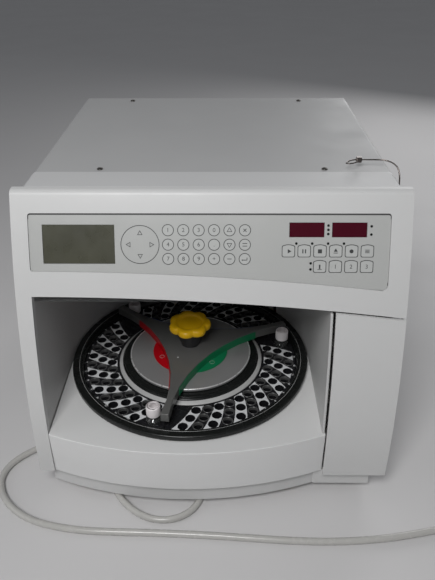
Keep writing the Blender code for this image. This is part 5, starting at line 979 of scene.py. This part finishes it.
def sleeve(mesh_data, centre, radius, height, steps=28):
    """A short collar that lines the mouth of a hole and stands a little above it."""
    rings = []
    for out, up in SLEEVE_OUTLINE:
        rings.append(level_ring(mesh_data, centre.x, centre.y, radius + out, height + up, steps))
    close_loop(mesh_data, rings)


def ring_bead(mesh_data, centre, radius, height, thickness, steps=28, sides=6):
    """A small round bead along a circle."""
    rings = []
    for step in range(steps):
        angle = math.tau * step / steps
        ring = []
        for side in range(sides):
            around = math.tau * side / sides
            reach = radius + thickness * math.cos(around)
            x = centre.x + reach * math.cos(angle)
            y = centre.y + reach * math.sin(angle)
            ring.append(mesh_data.verts.new((x, y, height + thickness * math.sin(around))))
        rings.append(ring)
    close_loop(mesh_data, rings)


def loose(name, mesh_data):
    """A plain object for a boolean."""
    bmesh.ops.recalc_face_normals(mesh_data, faces=mesh_data.faces)
    mesh = bpy.data.meshes.new(name)
    mesh_data.to_mesh(mesh)
    mesh_data.free()
    result = bpy.data.objects.new(name, mesh)
    bpy.context.scene.collection.objects.link(result)
    return result


def carved(body, cutter):
    """The bmesh of one object less another, both of which are removed."""
    change = body.modifiers.new("cut", "BOOLEAN")
    change.operation = "DIFFERENCE"
    change.object = cutter
    change.solver = "EXACT"
    graph = bpy.context.evaluated_depsgraph_get()
    mesh = bpy.data.meshes.new_from_object(body.evaluated_get(graph))
    result = bmesh.new()
    result.from_mesh(mesh)
    bpy.data.objects.remove(body, do_unlink=True)
    bpy.data.objects.remove(cutter, do_unlink=True)
    bpy.data.meshes.remove(mesh)
    return result


def sector(inner, outer, start, end, steps=40):
    """The outline of a ring's sector."""
    points = [around_axis(outer, start + (end - start) * step / steps).xy for step in range(steps + 1)]
    points += [around_axis(inner, end + (start - end) * step / steps).xy for step in range(steps + 1)]
    return points


def row_angle(index, row, radius):
    """The angle of a row's slanted middle line at a radius."""
    slope = 2 * ROW_SKEW / (ROW_RADII[0] - ROW_RADII[2])
    return ROW_START + index * RACK_SECTOR + row * ROW_PITCH + (ROW_RADII[0] - radius) * slope


def band_outline(index, row):
    """The outline of a printed row, nearly one row's pitch wide."""
    half = ROW_PITCH / 2 * BAND_WIDTH_SHARE
    radii = [BAND_START - BAND_LENGTH * step / BAND_PARTS for step in range(BAND_PARTS + 1)]
    points = [around_axis(radius, row_angle(index, row, radius) - half).xy for radius in radii]
    points += [around_axis(radius, row_angle(index, row, radius) + half).xy for radius in reversed(radii)]
    return points


def make_rack(index, node):
    """One rack: a plate with round holes, every other row printed and the rest with sleeves."""
    low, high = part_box(node)
    above = high.z + CUT_RISE
    start = RACK_START + index * RACK_SECTOR + RACK_GAP_ANGLE
    end = start + RACK_SECTOR - 2 * RACK_GAP_ANGLE
    plate = bmesh.new()
    extruded(plate, sector(*RACK_EDGE_RADII, start, end), low.z, high.z)
    socket = around_axis(SOCKET_ORBIT, SOCKET_ANGLE + (index + 1) * RACK_SECTOR)
    holes = bmesh.new()
    pillar(holes, socket, SOCKET_RADIUS, high.z - HOLE_DEPTH, above, SOCKET_STEPS)
    band_cuts = bmesh.new()
    pillar(band_cuts, socket, SOCKET_RADIUS + SOCKET_BORDER, low.z, above, SOCKET_STEPS)
    sleeves = bmesh.new()
    bands = bmesh.new()
    for row in range(ROW_COUNT):
        printed = row % 2 == 0
        border = PRINTED_HOLE_BORDER if printed else PLAIN_HOLE_BORDER
        for radius in ROW_RADII:
            centre = around_axis(radius, row_angle(index, row, radius))
            pillar(holes, centre, HOLE_RADIUS, high.z - HOLE_DEPTH, above)
            pillar(band_cuts, centre, HOLE_RADIUS + border, high.z - CUT_RISE, above)
            if not printed:
                sleeve(sleeves, centre, HOLE_RADIUS, high.z)
        if printed:
            extruded(bands, band_outline(index, row), high.z + PRINT_GAP, high.z + PRINT_HEIGHT)
    body = BODY_OF[node]
    plate = carved(loose("plate", plate), loose("holes", holes))
    piece = linked(node + "_finish", plate, "rack_black", body)
    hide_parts(node)
    # The sleeves are real; their grey is a painted highlight on the black rack
    linked(node + "_rims_painted_highlight", sleeves, "hole_rim_painted_highlight", body)
    linked(node + "_print", carved(loose("bands", bands), loose("cuts", band_cuts)), "print_white", body)
    make_rack_numbers(index, node, high.z + PRINT_HEIGHT)


def make_rack_numbers(index, node, height):
    """A number at the outer end of each row, turned with it."""
    numbers = bmesh.new()
    for row in range(ROW_COUNT):
        angle = row_angle(index, row, RACK_NUMBER_RADIUS)
        middle = around_axis(RACK_NUMBER_RADIUS, angle, height)
        turn = math.radians(angle - 90)
        write(numbers, str(row + 1), RACK_NUMBER_SIZE, lambda a, b, m=middle, t=turn: Vector((
            m.x + a * math.cos(t) - b * math.sin(t), m.y + a * math.sin(t) + b * math.cos(t), m.z)),
            RACK_NUMBER_BOLDNESS)
    linked(node + "_numbers", numbers, "print_white", BODY_OF[node])


def make_knob():
    """The lobed lock knob, soft-edged, with its dish."""
    low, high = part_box("lock_knob")
    height = high.z - low.z
    mesh_data = bmesh.new()
    rings = []
    for radius, level, lobed in KNOB_LEVELS:
        ring = []
        for step in range(KNOB_STEPS):
            angle = math.tau * step / KNOB_STEPS
            lobe = (math.cos(KNOB_LOBES * angle / 2) ** 2 + KNOB_LOBE_SOFTNESS) ** KNOB_LOBE_POWER
            at = radius + lobed * KNOB_LOBE_DEPTH * (2 * lobe - 1)
            ring.append(mesh_data.verts.new((AXIS_X + at * math.cos(angle), AXIS_Y + at * math.sin(angle),
                                             low.z + level * height / KNOB_HEIGHT)))
        rings.append(ring)
    close_stack(mesh_data, rings)
    piece = linked("lock_knob_finish", mesh_data, "knob_yellow", BODY_OF["lock_knob"],
                   KNOB_SHARP_ANGLE)
    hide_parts("lock_knob")


def make_cap_ribs(node):
    """Fine upright ribs round a vial cap, and the lip round the dimple in its top."""
    low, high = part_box(node)
    centre = (low + high) / 2
    radius = (high.x - low.x) / 2
    reach = radius - RIB_SINK
    ribs = bmesh.new()
    for step in range(CAP_RIBS):
        angle = math.tau * step / CAP_RIBS
        place = Vector((centre.x + reach * math.cos(angle), centre.y + reach * math.sin(angle), 0))
        pillar(ribs, place, RIB_RADIUS, low.z + RIB_LOW_INSET, high.z - RIB_HIGH_INSET, RIB_SIDES)
    linked(node + "_ribs", ribs, "cap_white", BODY_OF[node])
    lip = bmesh.new()
    ring_bead(lip, centre, radius * CAP_LIP_RADIUS_SHARE, high.z - CAP_LIP_SINK, CAP_LIP_THICKNESS,
              steps=32, sides=8)
    linked(node + "_lip", lip, "cap_white", BODY_OF[node])


def make_star_marks():
    """The white dot on the star cover and the plain rings printed on its leaves."""
    star_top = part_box("star_cover")[1].z
    dot = bmesh.new()
    pillar(dot, around_axis(STAR_DOT_ORBIT, STAR_DOT_ANGLE), STAR_DOT_RADIUS, star_top - STAR_DOT_SINK,
           star_top + STAR_DOT_RISE, steps=16)
    linked("star_dot", dot, "print_white", "star")
    leaf_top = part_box("inlay_green")[0].z + LEAF_THICKNESS
    marks = bmesh.new()
    for angle in LEAF_RING_ANGLES:
        centre = around_axis(LEAF_RING_ORBIT, angle)
        ring_bead(marks, centre, LEAF_RING_RADIUS, leaf_top, LEAF_RING_THICKNESS)
    linked("leaf_rings", marks, "print_dim", "star")


def make_carousel_edges():
    """A bright bead along the disc's edge, a painted highlight, and the narrow lip inside the tray's rim,
    grey as a painted highlight.
    """
    low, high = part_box("carousel_disc")
    centre = Vector((AXIS_X, AXIS_Y, 0))
    edge = bmesh.new()
    ring_bead(edge, centre, (high.x - low.x) / 2 - DISC_EDGE_INSET, high.z - DISC_EDGE_SINK,
              DISC_EDGE_THICKNESS, steps=160, sides=10)
    linked("disc_edge_painted_highlight", edge, "painted_highlight_silver", BODY_OF["carousel_disc"])
    # The lip is real; its grey is a painted highlight on the black tray
    lip = bmesh.new()
    ring_bead(lip, centre, RIM_LINE_RADIUS, TRAY_HIGH_CORNER.z - RIM_LINE_SINK, RIM_LINE_THICKNESS,
              steps=200, sides=10)
    linked("tray_lip_painted_highlight", lip, "lip_painted_highlight_grey", BODY_OF["carousel_tray"])


def centre_of(node):
    """The middle of a node's box, seen from above."""
    low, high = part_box(node)
    return (low.x + high.x) / 2, (low.y + high.y) / 2


def dress_nodes():
    """Rounded copies of the angular nodes, and finer copies of the turned ones."""
    for node, width in EDGE_WIDTHS.items():
        skin(node, width)
    for node, steps, rounding in CAROUSEL_TURNED:
        spun(node, (AXIS_X, AXIS_Y), steps, rounding)
    for node in SMALL_TURNED:
        spun(node, centre_of(node), SMALL_TURNED_STEPS, SMALL_TURNED_ROUNDING)


bpy.context.scene.view_settings.view_transform = "Standard"
place_camera()
make_studio()
make_hose()
dress_nodes()
for number, name in enumerate(("rack_green", "rack_blue", "rack_red")):
    make_rack(number, name)
make_knob()
for name in ("vial_cap_1", "vial_cap_2", "vial_cap_3"):
    make_cap_ribs(name)
make_star_marks()
make_carousel_edges()
make_keypad()
make_key_numbers()
make_painted_shadow_band()
